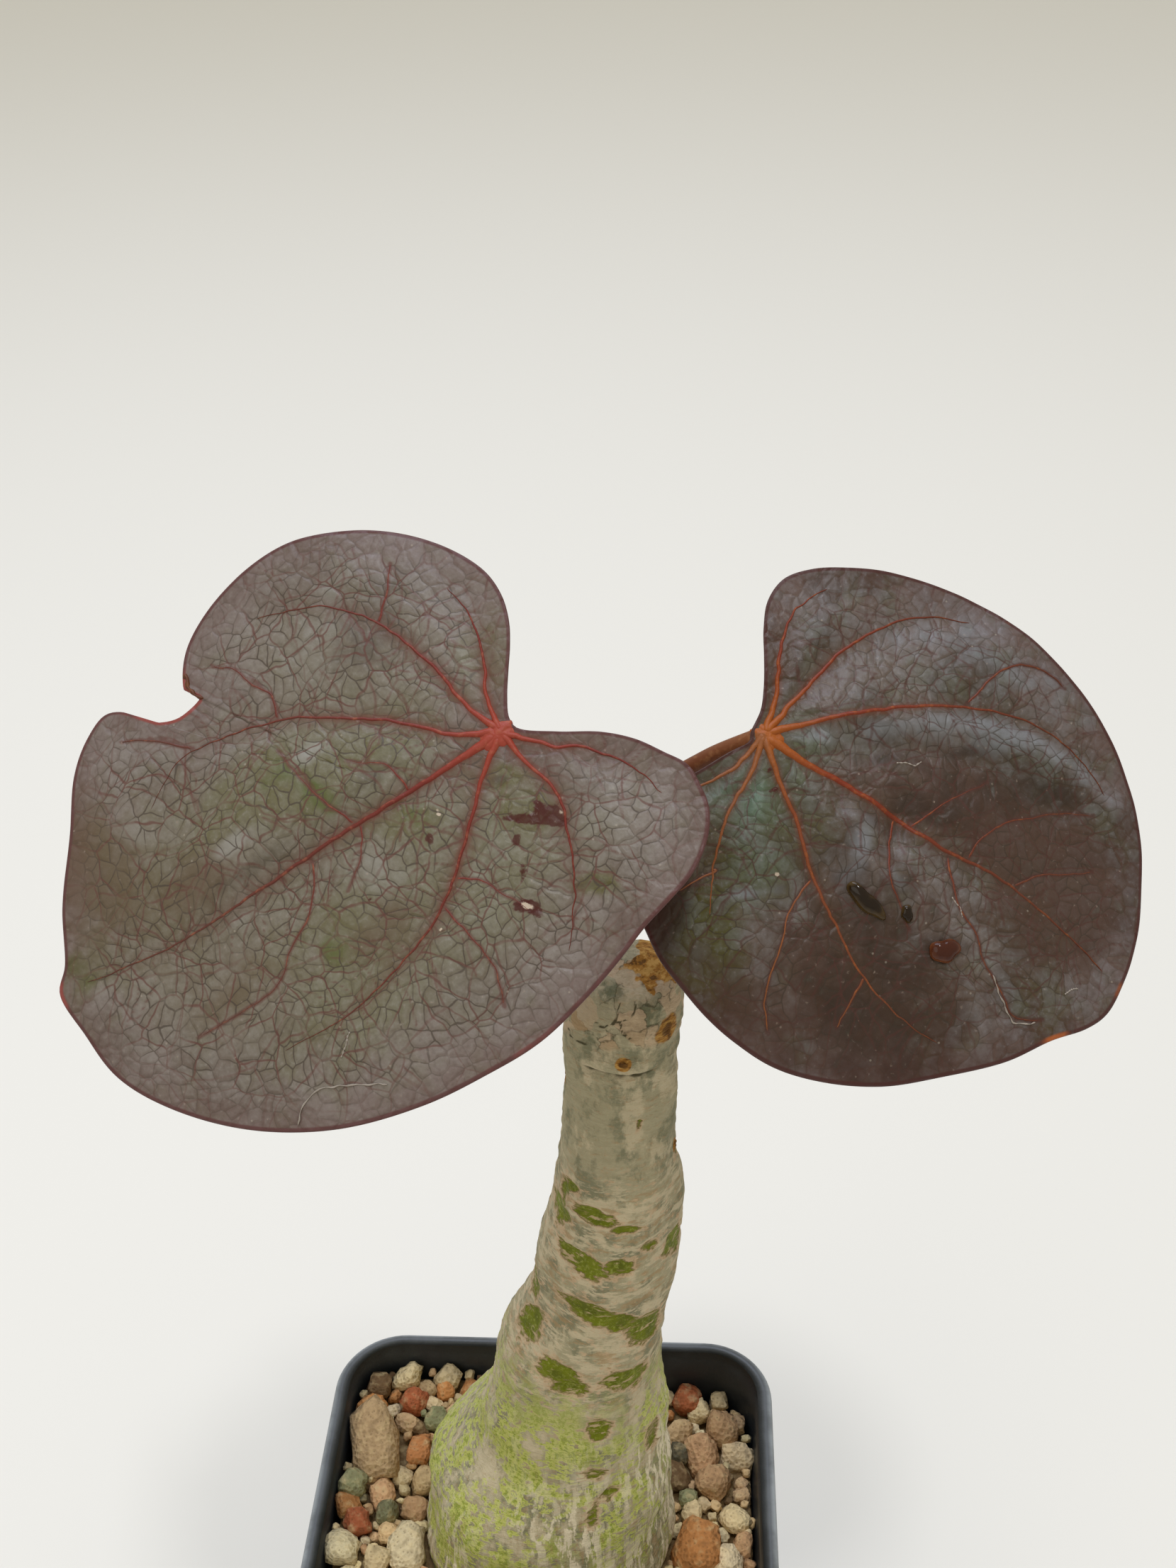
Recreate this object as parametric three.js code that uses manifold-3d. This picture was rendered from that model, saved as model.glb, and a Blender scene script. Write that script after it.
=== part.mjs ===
// A young potted Adenia stylosa: a swollen stem with peeling bark stands in gritty substrate in a square
// plastic pot, and carries two round, heart-based leaves on slim petioles.
// Millimetres, +Z up. The origin is the middle of the pot's underside, the pot's sides face X and Y, and the
// leaves look towards -Y.
import * as THREE from "three";
import { mergeVertices } from "three/addons/utils/BufferGeometryUtils.js";
import Module from "manifold-3d";

const wasm = await Module();
wasm.setup();

// Clearance between neighbouring pieces.
const GAP = 0.35;
// Points closer than this become one point.
const WELD = 1e-3;

// Pot: a square nursery pot with rounded corners, a thick rim band and a tapered wall.
const POT = {
  height: 75,
  rimHalf: 37.5,
  rimCorner: 11.4,
  rimWidth: 2.6,
  bandDepth: 8,
  bandStep: 1.3,
  baseHalf: 26.5,
  baseCorner: 7.5,
  wall: 1.3,
  floor: 1.8,
  cove: 0.8,
  edgeRound: 0.8,
  drainRadius: 3.6,
  drainOffset: 15,
};
const CORNER_STEPS = 6;

// Substrate: its surface lies below the rim and is heaped a little towards -X.
const SOIL = { top: 67, heap: 0.085, sideGap: 0.4, grainPitch: 6.4, seed: 20 };
// Grains that stand out in size: place on the surface, then length, width and height, then the turn in degrees.
const BIG_GRAINS = [
  { at: [-29.7, 17.6], size: [15, 8.7, 8], turn: 95 },
  { at: [-32.2, 9], size: [6.5, 5, 4.6], turn: 90 },
  { at: [-32.3, -1.5], size: [7, 6.4, 6], turn: 60 },
  { at: [-22.3, -0.7], size: [9.5, 6.4, 6], turn: 75 },
  { at: [-22.8, 18], size: [8, 4.4, 4], turn: 85 },
  { at: [-20.4, 11.8], size: [6.4, 5.2, 5], turn: 0 },
  { at: [-30.5, 29.5], size: [5.4, 4.6, 4.4], turn: 20 },
  { at: [23.4, 32], size: [6.4, 4.8, 4.4], turn: 0 },
  { at: [25.6, 21], size: [8.4, 5.8, 5.6], turn: 100 },
  { at: [29.5, 26.5], size: [6.4, 5.2, 5], turn: 30 },
  { at: [27.6, 14.6], size: [6.6, 5.4, 5], turn: 160 },
  { at: [23.9, 10], size: [5.2, 3.6, 3.6], turn: 90 },
  { at: [24.9, 2.8], size: [10.4, 8, 6.6], turn: 10 },
  { at: [31, 0.4], size: [5.6, 5.4, 5], turn: 60 },
];

// Stem: height, middle in x, and diameter, from the buried end to the blunt tip. It stands a little behind the
// middle of the pot, leans towards +X, and bulges at its foot.
const STEM = {
  y: 6,
  leanY: -0.02,
  sides: 24,
  rings: 40,
  profile: [
    [44, 0.8, 4],
    [45.5, 0.8, 14],
    [49, 0.8, 25],
    [56, 0.8, 34],
    [66, 0.6, 39.4],
    [78, 0.7, 39],
    [87, 1.3, 37],
    [93, 3.1, 33],
    [99, 5.3, 28.6],
    [107, 6.1, 26.6],
    [118, 7.3, 23.2],
    [124.5, 9, 21.4],
    [129.5, 10.5, 20],
    [141, 11.7, 19.6],
    [150, 12.6, 17.4],
    [160, 12.9, 15.5],
    [171, 13.5, 14.4],
    [179, 13.6, 14.8],
    [184, 14.2, 14.4],
    [187.5, 14.9, 12.6],
    [189.8, 15.6, 9.4],
    [191, 16, 4],
  ],
};
// Scars of fallen leaves and side buds: height, compass angle seen from above with 0 towards +X, and radius.
const SCARS = [
  { z: 180, angle: -20, radius: 1.9 },
  { z: 172, angle: -92, radius: 1.2 },
  { z: 171.5, angle: 178, radius: 1.3 },
  { z: 159, angle: -8, radius: 1.2 },
  { z: 152, angle: 70, radius: 1.5 },
  { z: 163, angle: 130, radius: 1.4 },
];
const TIP_BUD = { radius: 2.6, height: 189.7, x: 15.9 };

// Leaves. The junction is where the petiole meets the blade. The upper face looks along azimuth (from -Y
// towards +X) and elevation, and the midrib is turned in that face, in degrees from level towards +X.
// Outline and rib points are [degrees from the midrib, millimetres from the junction].
// The blade arches by bend, waves by wave at the distance span, and folds back past foldAt across the midrib.
const BLADE = { thickness: 0.8, edge: 0.6, samplesPerPoint: 2, rings: 5, innerRing: 0.18 };
const RIB = { root: 0.95, tip: 0.6, sides: 4, stepLength: 6 };
const WAVES_ROUND = 6;
const LEAVES = {
  left: {
    junction: [1.3, -4, 228.5],
    azimuth: -8,
    elevation: 47,
    midribTurn: -143,
    bend: 0.0022,
    wave: 0.8,
    crest: -15,
    span: 50,
    fold: 0,
    foldAt: 0,
    outline: [
      [170, 1.8], [150, 6], [149, 11], [146, 14.6], [142, 17.8], [139, 20.6], [134, 22.4],
      [129, 24], [122, 25.2], [113, 25.9], [104, 26], [96, 26.4], [88, 27.7], [78, 30],
      [67, 33.5], [57, 36.8], [48, 40.6], [37, 45.7], [26, 50.7], [16, 55], [9, 57.4],
      [3, 57.8], [-2.5, 58.2], [-5, 56.2], [-11, 54.2], [-20, 51.6], [-27.5, 51], [-32.5, 49.9],
      [-36, 48.1], [-36.6, 45.8], [-35.4, 43], [-35, 40.4], [-36, 38], [-39.8, 36],
      [-39.5, 37.6], [-43, 38.9], [-48.5, 39.6], [-55, 39], [-64, 37.3], [-73, 35], [-83, 31.1],
      [-93, 27.1], [-103, 23.1], [-113, 19.1], [-119, 16], [-123, 12.9], [-125, 10],
      [-126, 7], [-129, 4.2], [-146, 2],
    ],
    ribs: [
      [[2, 10], [1, 25], [1, 38], [0, 46], [-2, 55]],
      [[-30, 5.5], [-38, 11], [-38, 17.6], [-36, 25.6], [-32, 32], [-28, 37.4], [-20, 41.5]],
      [[-70, 5.3], [-75, 10], [-73, 19.4], [-67, 26], [-57, 33]],
      [[-98, 4.1], [-106, 9], [-104, 14.4], [-99, 18.5]],
      [[38, 5.1], [42, 10], [42, 19.3], [37, 26.6], [31, 34.5], [24, 41.8]],
      [[100, 4.6], [102, 9], [94, 13.2], [85, 19], [77, 25]],
      [[134, 5.6], [138, 9.5], [134, 14.8], [128, 19]],
    ],
    petiole: [[9.8, 4.6, 184.5], [8.2, 4.8, 191], [6.4, 4.8, 202], [4.4, 3.6, 213], [2.6, 0.4, 222.5]],
  },
  right: {
    junction: [30.3, 7, 221.5],
    azimuth: 10,
    elevation: 48,
    midribTurn: -43,
    bend: 0.0032,
    wave: 1.2,
    crest: 50,
    span: 45,
    fold: 0.008,
    foldAt: 8,
    outline: [
      [-150, 1.7], [135, 3], [127, 5.6], [126, 9.5], [126, 13], [124, 16.5], [118.5, 19.5],
      [110, 21.6], [100, 23.6], [90, 26.2], [80, 29.1], [70, 32.2], [60, 35.3], [50, 38.5],
      [41, 41.8], [33, 44.7], [25.5, 47.2], [18, 48.9], [11, 50.3], [5, 50.9], [-0.5, 51],
      [-4, 50], [-9, 47.7], [-16, 46], [-25, 43.5], [-33.5, 41.8], [-42.5, 39.6], [-51, 37.3],
      [-58.5, 34.7], [-65, 32.4], [-71.5, 30.1], [-78, 28.2], [-84, 26.2], [-92, 24],
      [-101, 21.5], [-109, 17.5], [-113, 13], [-113.5, 9], [-116, 4.5], [-120, 2],
    ],
    ribs: [
      [[0, 5], [5, 12], [5, 24], [7, 32], [5, 44], [4, 48.5]],
      [[52, 5], [50, 12], [48, 20], [45, 27], [41, 33], [34, 39], [29, 42]],
      [[86, 5.6], [85, 12.8], [81, 19.3], [75, 25], [67, 30]],
      [[110, 5], [115, 10], [112, 15.8], [103, 20]],
      [[-38, 5], [-34, 10], [-35, 17.2], [-33, 23.3], [-31, 29.6], [-27, 35.8], [-23, 40.3]],
      [[-74, 4.9], [-78, 10], [-75, 16], [-70, 22]],
      [[-95, 5], [-103, 9], [-108, 14]],
    ],
    petiole: [[12.4, 7.6, 185.5], [12.6, 8.2, 192], [13.8, 8.8, 202], [17.4, 9, 211.6], [23.6, 8.6, 217]],
  },
};
const PETIOLE = { root: 1.5, middle: 0.95, end: 1.1, sides: 8, steps: 18 };
const BOSS = { radius: 2.3, flatness: 0.62, along: 0.6 };

const COLOURS = {
  pot: 0x34383c,
  substrate: 0xb9a184,
  stem: 0xb0a98a,
  petiole: 0x8a4a34,
  blade: 0x6b5f5c,
};

// A closed mesh, given as a geometry, made a solid that can be joined and cut.
function solid(geometry) {
  const bare = geometry.clone();
  bare.deleteAttribute("normal");
  bare.deleteAttribute("uv");
  const merged = mergeVertices(bare, WELD);
  return new wasm.Manifold(
    new wasm.Mesh({
      numProp: 3,
      vertProperties: merged.attributes.position.array,
      triVerts: new Uint32Array(merged.index.array),
    }),
  );
}

// A solid turned back into a geometry that can be drawn.
function geometryOf(made) {
  const mesh = made.getMesh();
  const geometry = new THREE.BufferGeometry();
  geometry.setAttribute("position", new THREE.BufferAttribute(mesh.vertProperties, 3));
  geometry.setIndex(new THREE.BufferAttribute(mesh.triVerts, 1));
  geometry.computeVertexNormals();
  return geometry;
}

// The largest body of a cut, without the slivers cut off from it.
function mainBody(cut) {
  const welded = solid(geometryOf(cut));
  return welded.decompose().sort((a, b) => b.volume() - a.volume())[0];
}

// One closed skin over a stack of point loops, with a middle point closing each end.
function skinLoops(loops) {
  const sides = loops[0].length;
  const points = loops.flat();
  const middle = (loop) =>
    loop.reduce((sum, p) => sum.add(p), new THREE.Vector3()).divideScalar(sides);
  const first = points.push(middle(loops[0])) - 1;
  const last = points.push(middle(loops.at(-1))) - 1;
  const index = [];
  for (let i = 0; i < sides; i++) {
    const j = (i + 1) % sides;
    const end = (loops.length - 1) * sides;
    index.push(first, j, i);
    index.push(last, end + i, end + j);
    for (let k = 0; k < loops.length - 1; k++) {
      const a = k * sides;
      const b = a + sides;
      index.push(a + i, a + j, b + j);
      index.push(a + i, b + j, b + i);
    }
  }
  const geometry = new THREE.BufferGeometry().setFromPoints(points);
  geometry.setIndex(index);
  return geometry;
}

// A small generator of repeatable draws between 0 and 1.
function drawsFrom(seed) {
  let state = seed;
  return () => {
    state = (Math.imul(state, 1664525) + 1013904223) >>> 0;
    return state / 4294967296;
  };
}

const FRONT = new THREE.Vector3(0, -1, 0);
const mix = THREE.MathUtils.lerp;
const radians = THREE.MathUtils.degToRad;

// Pot

function squareLoop(half, corner, z) {
  const loop = [];
  for (let quarter = 0; quarter < 4; quarter++) {
    const start = (quarter * Math.PI) / 2;
    const middle = new THREE.Vector2(half - corner, half - corner).rotateAround(
      new THREE.Vector2(),
      start,
    );
    for (let k = 0; k <= CORNER_STEPS; k++) {
      const angle = start + (k / CORNER_STEPS) * (Math.PI / 2);
      loop.push(
        new THREE.Vector3(middle.x + corner * Math.cos(angle), middle.y + corner * Math.sin(angle), z),
      );
    }
  }
  return loop;
}

// Half width and corner radius of the tapered wall at a height. Behind the rim band it stands upright.
function potWall(z) {
  const share = Math.min(1, z / (POT.height - POT.bandDepth));
  return {
    half: mix(POT.baseHalf, POT.rimHalf - POT.bandStep, share),
    corner: mix(POT.baseCorner, POT.rimCorner - POT.bandStep, share),
  };
}

// A loop on the inside of the pot, drawn in by a gap.
function cavityLoop(z, gap) {
  const wall = potWall(z);
  const inset = POT.wall + gap;
  return squareLoop(wall.half - inset, wall.corner - inset, z);
}

// The edge of the pot's inner floor, drawn in and raised by a gap.
function floorLoop(gap) {
  const inset = POT.wall + POT.cove + gap;
  return squareLoop(POT.baseHalf - inset, POT.baseCorner - inset, POT.floor + gap);
}

function potSolid() {
  const { height, rimHalf, rimCorner, bandDepth, edgeRound } = POT;
  const bandFoot = height - bandDepth;
  const foot = potWall(0);
  const neck = potWall(bandFoot);
  const rimInner = rimHalf - POT.rimWidth;
  const rimInnerCorner = rimCorner - POT.rimWidth;
  const loops = [
    squareLoop(foot.half - edgeRound, foot.corner - edgeRound, 0),
    squareLoop(foot.half, foot.corner, edgeRound),
    squareLoop(neck.half, neck.corner, bandFoot - 0.4),
    squareLoop(rimHalf - 0.5, rimCorner - 0.5, bandFoot),
    squareLoop(rimHalf - 0.1, rimCorner - 0.1, bandFoot + 0.6),
    squareLoop(rimHalf, rimCorner, height - 1.1),
    squareLoop(rimHalf - 0.3, rimCorner - 0.3, height - 0.35),
    squareLoop(rimHalf - 0.9, rimCorner - 0.9, height),
    squareLoop(rimInner + 0.6, rimInnerCorner + 0.6, height - 0.5),
    squareLoop(rimInner, rimInnerCorner, height - 1.4),
    cavityLoop(bandFoot, 0),
    cavityLoop(POT.floor + POT.cove, 0),
    floorLoop(0),
  ];
  let pot = solid(skinLoops(loops));
  for (const [sx, sy] of [[1, 1], [-1, 1], [-1, -1], [1, -1]]) {
    const hole = new THREE.CylinderGeometry(POT.drainRadius, POT.drainRadius, POT.floor * 4, 16);
    hole.rotateX(Math.PI / 2);
    hole.translate(sx * POT.drainOffset, sy * POT.drainOffset, POT.floor / 2);
    pot = pot.subtract(solid(hole));
  }
  return pot;
}

// Stem

const stemCurve = new THREE.CatmullRomCurve3(
  STEM.profile.map((row) => new THREE.Vector3(...row)),
  false,
  "centripetal",
);

// The stem's outline at a share of its length: height, middle, and radius at an angle.
function stemRing(share, grow) {
  const row = stemCurve.getPoint(share);
  const height = row.x;
  const middle = new THREE.Vector3(row.y, STEM.y + STEM.leanY * (height - SOIL.top), height);
  const loop = [];
  for (let i = 0; i < STEM.sides; i++) {
    const angle = (i / STEM.sides) * 2 * Math.PI;
    const lumps =
      0.022 * Math.sin(3 * angle + height / 11) + 0.016 * Math.sin(5 * angle - height / 6 + 1) +
      0.014 * Math.sin(height / 2.6 + 2 * Math.sin(angle));
    const radius = (row.z / 2) * (1 + lumps) + grow;
    loop.push(new THREE.Vector3(radius * Math.cos(angle), radius * Math.sin(angle), 0).add(middle));
  }
  return loop;
}

function stemBody(grow) {
  const loops = [];
  for (let k = 0; k <= STEM.rings; k++) {
    loops.push(stemRing(k / STEM.rings, grow));
  }
  if (grow > 0) {
    loops[0].forEach((p) => (p.z -= grow));
  }
  return solid(skinLoops(loops));
}

// Middle and radius of the stem at a height.
function stemAt(z) {
  const rows = STEM.profile;
  const k = rows.findIndex((row) => row[0] >= z);
  const share = (z - rows[k - 1][0]) / (rows[k][0] - rows[k - 1][0]);
  return {
    x: mix(rows[k - 1][1], rows[k][1], share),
    y: STEM.y + STEM.leanY * (z - SOIL.top),
    radius: mix(rows[k - 1][2], rows[k][2], share) / 2,
  };
}

function stemSolid(petioleHoles) {
  let stem = stemBody(0);
  for (const scar of SCARS) {
    const here = stemAt(scar.z);
    const angle = radians(scar.angle);
    const knob = new THREE.SphereGeometry(scar.radius, 7, 4);
    knob.scale(1, 1, 0.8);
    const reach = here.radius - 0.55 * scar.radius;
    knob.translate(here.x + reach * Math.cos(angle), here.y + reach * Math.sin(angle), scar.z);
    stem = stem.add(solid(knob));
  }
  const bud = new THREE.SphereGeometry(TIP_BUD.radius, 9, 5);
  bud.scale(1, 1, 0.75);
  bud.translate(TIP_BUD.x, STEM.y + STEM.leanY * (TIP_BUD.height - SOIL.top), TIP_BUD.height);
  stem = stem.add(solid(bud));
  petioleHoles.forEach((hole) => (stem = stem.subtract(hole)));
  return stem;
}

// Substrate

function soilHeight(x) {
  return SOIL.top - SOIL.heap * x;
}

// A rough grain: a round solid with few faces, stretched, turned and sunk in the surface.
function grain(at, size, turn, sink) {
  const rough = new THREE.IcosahedronGeometry(0.55, 0);
  rough.scale(size[0], size[1], size[2]);
  rough.rotateZ(radians(turn));
  rough.translate(at[0], at[1], soilHeight(at[0]) + size[2] * (0.5 - sink));
  return solid(rough);
}

// Scattered grains: one on each point of a shaken grid that the big grains leave free.
function scatteredGrains() {
  const draw = drawsFrom(SOIL.seed);
  const reach = potWall(SOIL.top).half;
  const made = [];
  const rowPitch = SOIL.grainPitch * 0.87;
  for (let row = 0, y = -reach; y < reach; row++, y += rowPitch) {
    for (let x = -reach + (row % 2) * SOIL.grainPitch * 0.5; x < reach; x += SOIL.grainPitch) {
      const at = [x + (draw() - 0.5) * 2.2, y + (draw() - 0.5) * 2.2];
      const length = 3.4 + 3.2 * draw() * draw();
      const size = [length, length * (0.75 + 0.2 * draw()), length * (0.65 + 0.25 * draw())];
      const turn = 180 * draw();
      const sink = 0.42 + 0.16 * draw();
      const crowded = BIG_GRAINS.some(
        (big) => Math.hypot(big.at[0] - at[0], big.at[1] - at[1]) < big.size[1] * 0.55,
      );
      if (!crowded) {
        made.push(grain(at, size, turn, sink));
      }
    }
  }
  return made;
}

function substrateSolid() {
  const bed = [
    floorLoop(SOIL.sideGap),
    cavityLoop(POT.floor + POT.cove, SOIL.sideGap),
    cavityLoop(SOIL.top, SOIL.sideGap).map((p) => p.setZ(soilHeight(p.x))),
  ];
  const grains = [
    ...scatteredGrains(),
    ...BIG_GRAINS.map((big) => grain(big.at, big.size, big.turn, 0.4)),
  ];
  const cavity = solid(
    skinLoops([
      floorLoop(SOIL.sideGap),
      cavityLoop(POT.floor + POT.cove, SOIL.sideGap),
      cavityLoop(POT.height - POT.bandDepth, SOIL.sideGap),
      cavityLoop(POT.height, SOIL.sideGap),
    ]),
  );
  const filled = wasm.Manifold.union([solid(skinLoops(bed)), ...grains]);
  return mainBody(filled.intersect(cavity).subtract(stemBody(GAP)));
}

// Leaves

// The blade's own axes: u along the midrib, v across it, w out of the upper face.
function bladeFrame(leaf) {
  const azimuth = radians(leaf.azimuth);
  const elevation = radians(leaf.elevation);
  const w = new THREE.Vector3(
    Math.sin(azimuth) * Math.cos(elevation),
    -Math.cos(azimuth) * Math.cos(elevation),
    Math.sin(elevation),
  );
  const level = new THREE.Vector3(-w.y, w.x, 0).normalize();
  const uphill = new THREE.Vector3().crossVectors(w, level);
  const turn = radians(leaf.midribTurn);
  const u = level.multiplyScalar(Math.cos(turn)).addScaledVector(uphill, Math.sin(turn));
  const v = new THREE.Vector3().crossVectors(w, u);
  return { u, v, w, origin: new THREE.Vector3(...leaf.junction) };
}

// How far the blade's middle surface stands out of its plane.
function bladeHeight(leaf, u, v) {
  const reach = Math.hypot(u, v);
  const angle = Math.atan2(v, u) - radians(leaf.crest);
  const folded = Math.max(0, -v - leaf.foldAt);
  return (
    -leaf.bend * reach * reach +
    leaf.wave * (reach / leaf.span) ** 1.5 * Math.cos(WAVES_ROUND * angle) -
    leaf.fold * folded * folded
  );
}

function bladePoint(leaf, frame, u, v, lift) {
  return frame.origin
    .clone()
    .addScaledVector(frame.u, u)
    .addScaledVector(frame.v, v)
    .addScaledVector(frame.w, bladeHeight(leaf, u, v) + lift);
}

const polar = ([degrees, reach]) =>
  new THREE.Vector3(reach * Math.cos(radians(degrees)), reach * Math.sin(radians(degrees)), 0);

// The blade: rings of the outline, drawn smaller towards the junction, alike on both faces.
function bladeSkin(leaf, frame, extra) {
  const outline = new THREE.CatmullRomCurve3(leaf.outline.map(polar), true, "centripetal")
    .getPoints(leaf.outline.length * BLADE.samplesPerPoint)
    .slice(0, -1);
  const sides = outline.length;
  const faces = [];
  const ringShare = (k) => mix(BLADE.innerRing, 1, k / (BLADE.rings - 1));
  for (const side of [1, -1]) {
    const points = [bladePoint(leaf, frame, 0, 0, side * (BLADE.thickness / 2 + extra))];
    for (let k = 0; k < BLADE.rings; k++) {
      const share = ringShare(k);
      const half = mix(BLADE.thickness, BLADE.edge, share ** 4) / 2 + extra;
      outline.forEach((p) =>
        points.push(bladePoint(leaf, frame, p.x * share, p.y * share, side * half)),
      );
    }
    faces.push(points);
  }
  const lower = faces[0].length;
  const index = [];
  const addTriangle = (a, b, c) => {
    index.push(a, b, c);
    index.push(lower + a, lower + c, lower + b);
  };
  for (let i = 0; i < sides; i++) {
    const j = (i + 1) % sides;
    addTriangle(0, 1 + j, 1 + i);
    for (let k = 0; k < BLADE.rings - 1; k++) {
      const a = 1 + k * sides;
      const b = a + sides;
      addTriangle(a + i, a + j, b + j);
      addTriangle(a + i, b + j, b + i);
    }
    const rim = 1 + (BLADE.rings - 1) * sides;
    index.push(rim + i, rim + j, lower + rim + j);
    index.push(rim + i, lower + rim + j, lower + rim + i);
  }
  const geometry = new THREE.BufferGeometry().setFromPoints(faces.flat());
  geometry.setIndex(index);
  return solid(geometry);
}

// A rod along a curve, with a radius for each share of its length and its first corner on the up side.
function rod(curve, up, steps, sides, radiusAt) {
  const loops = [];
  for (let k = 0; k <= steps; k++) {
    const middle = curve.getPointAt(k / steps);
    const along = curve.getTangentAt(k / steps);
    const across = new THREE.Vector3().crossVectors(up, along).normalize();
    const rise = new THREE.Vector3().crossVectors(along, across);
    const radius = radiusAt(k / steps);
    const loop = [];
    for (let i = 0; i < sides; i++) {
      const angle = (i / sides) * 2 * Math.PI;
      loop.push(
        middle
          .clone()
          .addScaledVector(rise, radius * Math.cos(angle))
          .addScaledVector(across, -radius * Math.sin(angle)),
      );
    }
    loops.push(loop);
  }
  return skinLoops(loops);
}

function ribSolid(leaf, frame, points) {
  const flat = new THREE.CatmullRomCurve3([new THREE.Vector3(), ...points.map(polar)], false, "centripetal");
  const steps = Math.max(4, Math.round(flat.getLength() / RIB.stepLength));
  const raised = new THREE.CatmullRomCurve3(
    flat.getSpacedPoints(steps * 2).map((p) => bladePoint(leaf, frame, p.x, p.y, 0)),
  );
  return solid(rod(raised, frame.w, steps, RIB.sides, (share) => mix(RIB.root, RIB.tip, share)));
}

// The cushion where the ribs meet the petiole.
function bossSolid(frame, extra) {
  const boss = new THREE.SphereGeometry(1, 12, 8);
  boss.scale(BOSS.radius + extra, BOSS.radius + extra, BOSS.radius * BOSS.flatness + extra);
  const turn = new THREE.Matrix4().makeBasis(frame.u, frame.v, frame.w);
  boss.applyMatrix4(turn);
  const at = frame.origin.clone().addScaledVector(frame.u, BOSS.along);
  boss.translate(at.x, at.y, at.z);
  return solid(boss);
}

function bladeSolid(leaf) {
  const frame = bladeFrame(leaf);
  const pieces = [bladeSkin(leaf, frame, 0), bossSolid(frame, 0)];
  pieces.push(...leaf.ribs.map((points) => ribSolid(leaf, frame, points)));
  return mainBody(wasm.Manifold.union(pieces));
}

// The petiole, thicker at its foot, which stands in a hole in the stem.
function petioleRod(leaf, grow) {
  const curve = new THREE.CatmullRomCurve3(
    [...leaf.petiole, leaf.junction].map((p) => new THREE.Vector3(...p)),
    false,
    "centripetal",
  );
  const radiusAt = (share) =>
    grow +
    (share < 0.3
      ? mix(PETIOLE.root, PETIOLE.middle, share / 0.3)
      : mix(PETIOLE.middle, PETIOLE.end, (share - 0.3) / 0.7));
  return solid(rod(curve, FRONT, PETIOLE.steps, PETIOLE.sides, radiusAt));
}

// The petiole's upper end is hollowed to seat the cushion of its blade.
function petioleSolid(leaf) {
  const frame = bladeFrame(leaf);
  const seated = petioleRod(leaf, 0).subtract(bossSolid(frame, GAP));
  return mainBody(seated.subtract(bladeSkin(leaf, frame, GAP)));
}

// The hole for a petiole's foot: the petiole's own form, a gap wider and a gap deeper.
function petioleHole(leaf) {
  const foot = new THREE.Vector3(...leaf.petiole[0]);
  const next = new THREE.Vector3(...leaf.petiole[1]);
  const deeper = foot.clone().addScaledVector(next.sub(foot).normalize(), -GAP);
  return petioleRod({ ...leaf, petiole: [deeper.toArray(), ...leaf.petiole.slice(1)] }, GAP);
}

function mesh(name, made, colour, roughness) {
  const material = new THREE.MeshStandardMaterial({ color: colour, roughness, metalness: 0 });
  const shape = new THREE.Mesh(geometryOf(made), material);
  shape.name = name;
  return shape;
}

const plant = new THREE.Group();
plant.add(mesh("stem", stemSolid(Object.values(LEAVES).map(petioleHole)), COLOURS.stem, 0.85));
for (const [side, leaf] of Object.entries(LEAVES)) {
  plant.add(mesh(`petiole_${side}`, petioleSolid(leaf), COLOURS.petiole, 0.5));
  plant.add(mesh(`leaf_blade_${side}`, bladeSolid(leaf), COLOURS.blade, 0.45));
}

const pottedPlant = new THREE.Group();
pottedPlant.add(mesh("pot", potSolid(), COLOURS.pot, 0.5));
pottedPlant.add(mesh("substrate", substrateSolid(), COLOURS.substrate, 0.95));
pottedPlant.add(plant);

export default pottedPlant;
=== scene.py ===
"""A potted adenia stylosa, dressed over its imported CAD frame.

Every size below is in millimetres in the CAD's own frame, and becomes metres when a mesh is handed over.
Each leaf is one closed blade with its ribs standing out of it, the stem is one peeling trunk, and the pot
holds a bed of grit with loose grains lying on it.
"""

import logging
import math
import random
from dataclasses import dataclass
from enum import Enum
from functools import cached_property
from typing import Callable, Sequence

import bmesh
import bpy
import numpy as np
from mathutils import Matrix, Vector, noise


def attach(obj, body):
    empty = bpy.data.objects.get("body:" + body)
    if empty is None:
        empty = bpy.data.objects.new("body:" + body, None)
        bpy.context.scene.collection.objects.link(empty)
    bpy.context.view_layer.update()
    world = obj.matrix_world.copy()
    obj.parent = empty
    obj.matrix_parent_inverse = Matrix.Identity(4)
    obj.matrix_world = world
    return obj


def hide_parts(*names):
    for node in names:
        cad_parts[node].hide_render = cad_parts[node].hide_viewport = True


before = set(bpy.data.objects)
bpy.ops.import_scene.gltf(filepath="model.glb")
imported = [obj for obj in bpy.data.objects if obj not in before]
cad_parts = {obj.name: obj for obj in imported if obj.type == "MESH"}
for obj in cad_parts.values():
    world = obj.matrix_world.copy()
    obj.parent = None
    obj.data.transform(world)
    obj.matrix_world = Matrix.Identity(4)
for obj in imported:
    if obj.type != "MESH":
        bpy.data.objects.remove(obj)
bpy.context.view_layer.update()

LOG = logging.getLogger("potted_adenia")
MM = 0.001
# How finely a smooth path is drawn between two of its points, and how each octave of the noise fades and shrinks
BENDS_PER_SPAN = 16
NOISE_FADE, NOISE_STEP = 0.9, 2.1
ATTRIBUTE_KINDS = {1: ("FLOAT", "value"), 3: ("FLOAT_VECTOR", "vector"), 4: ("FLOAT_COLOR", "color")}
Array = np.ndarray
Socket = bpy.types.NodeSocket
Line = tuple[tuple[float, float], ...]


# Shared tools


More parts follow.
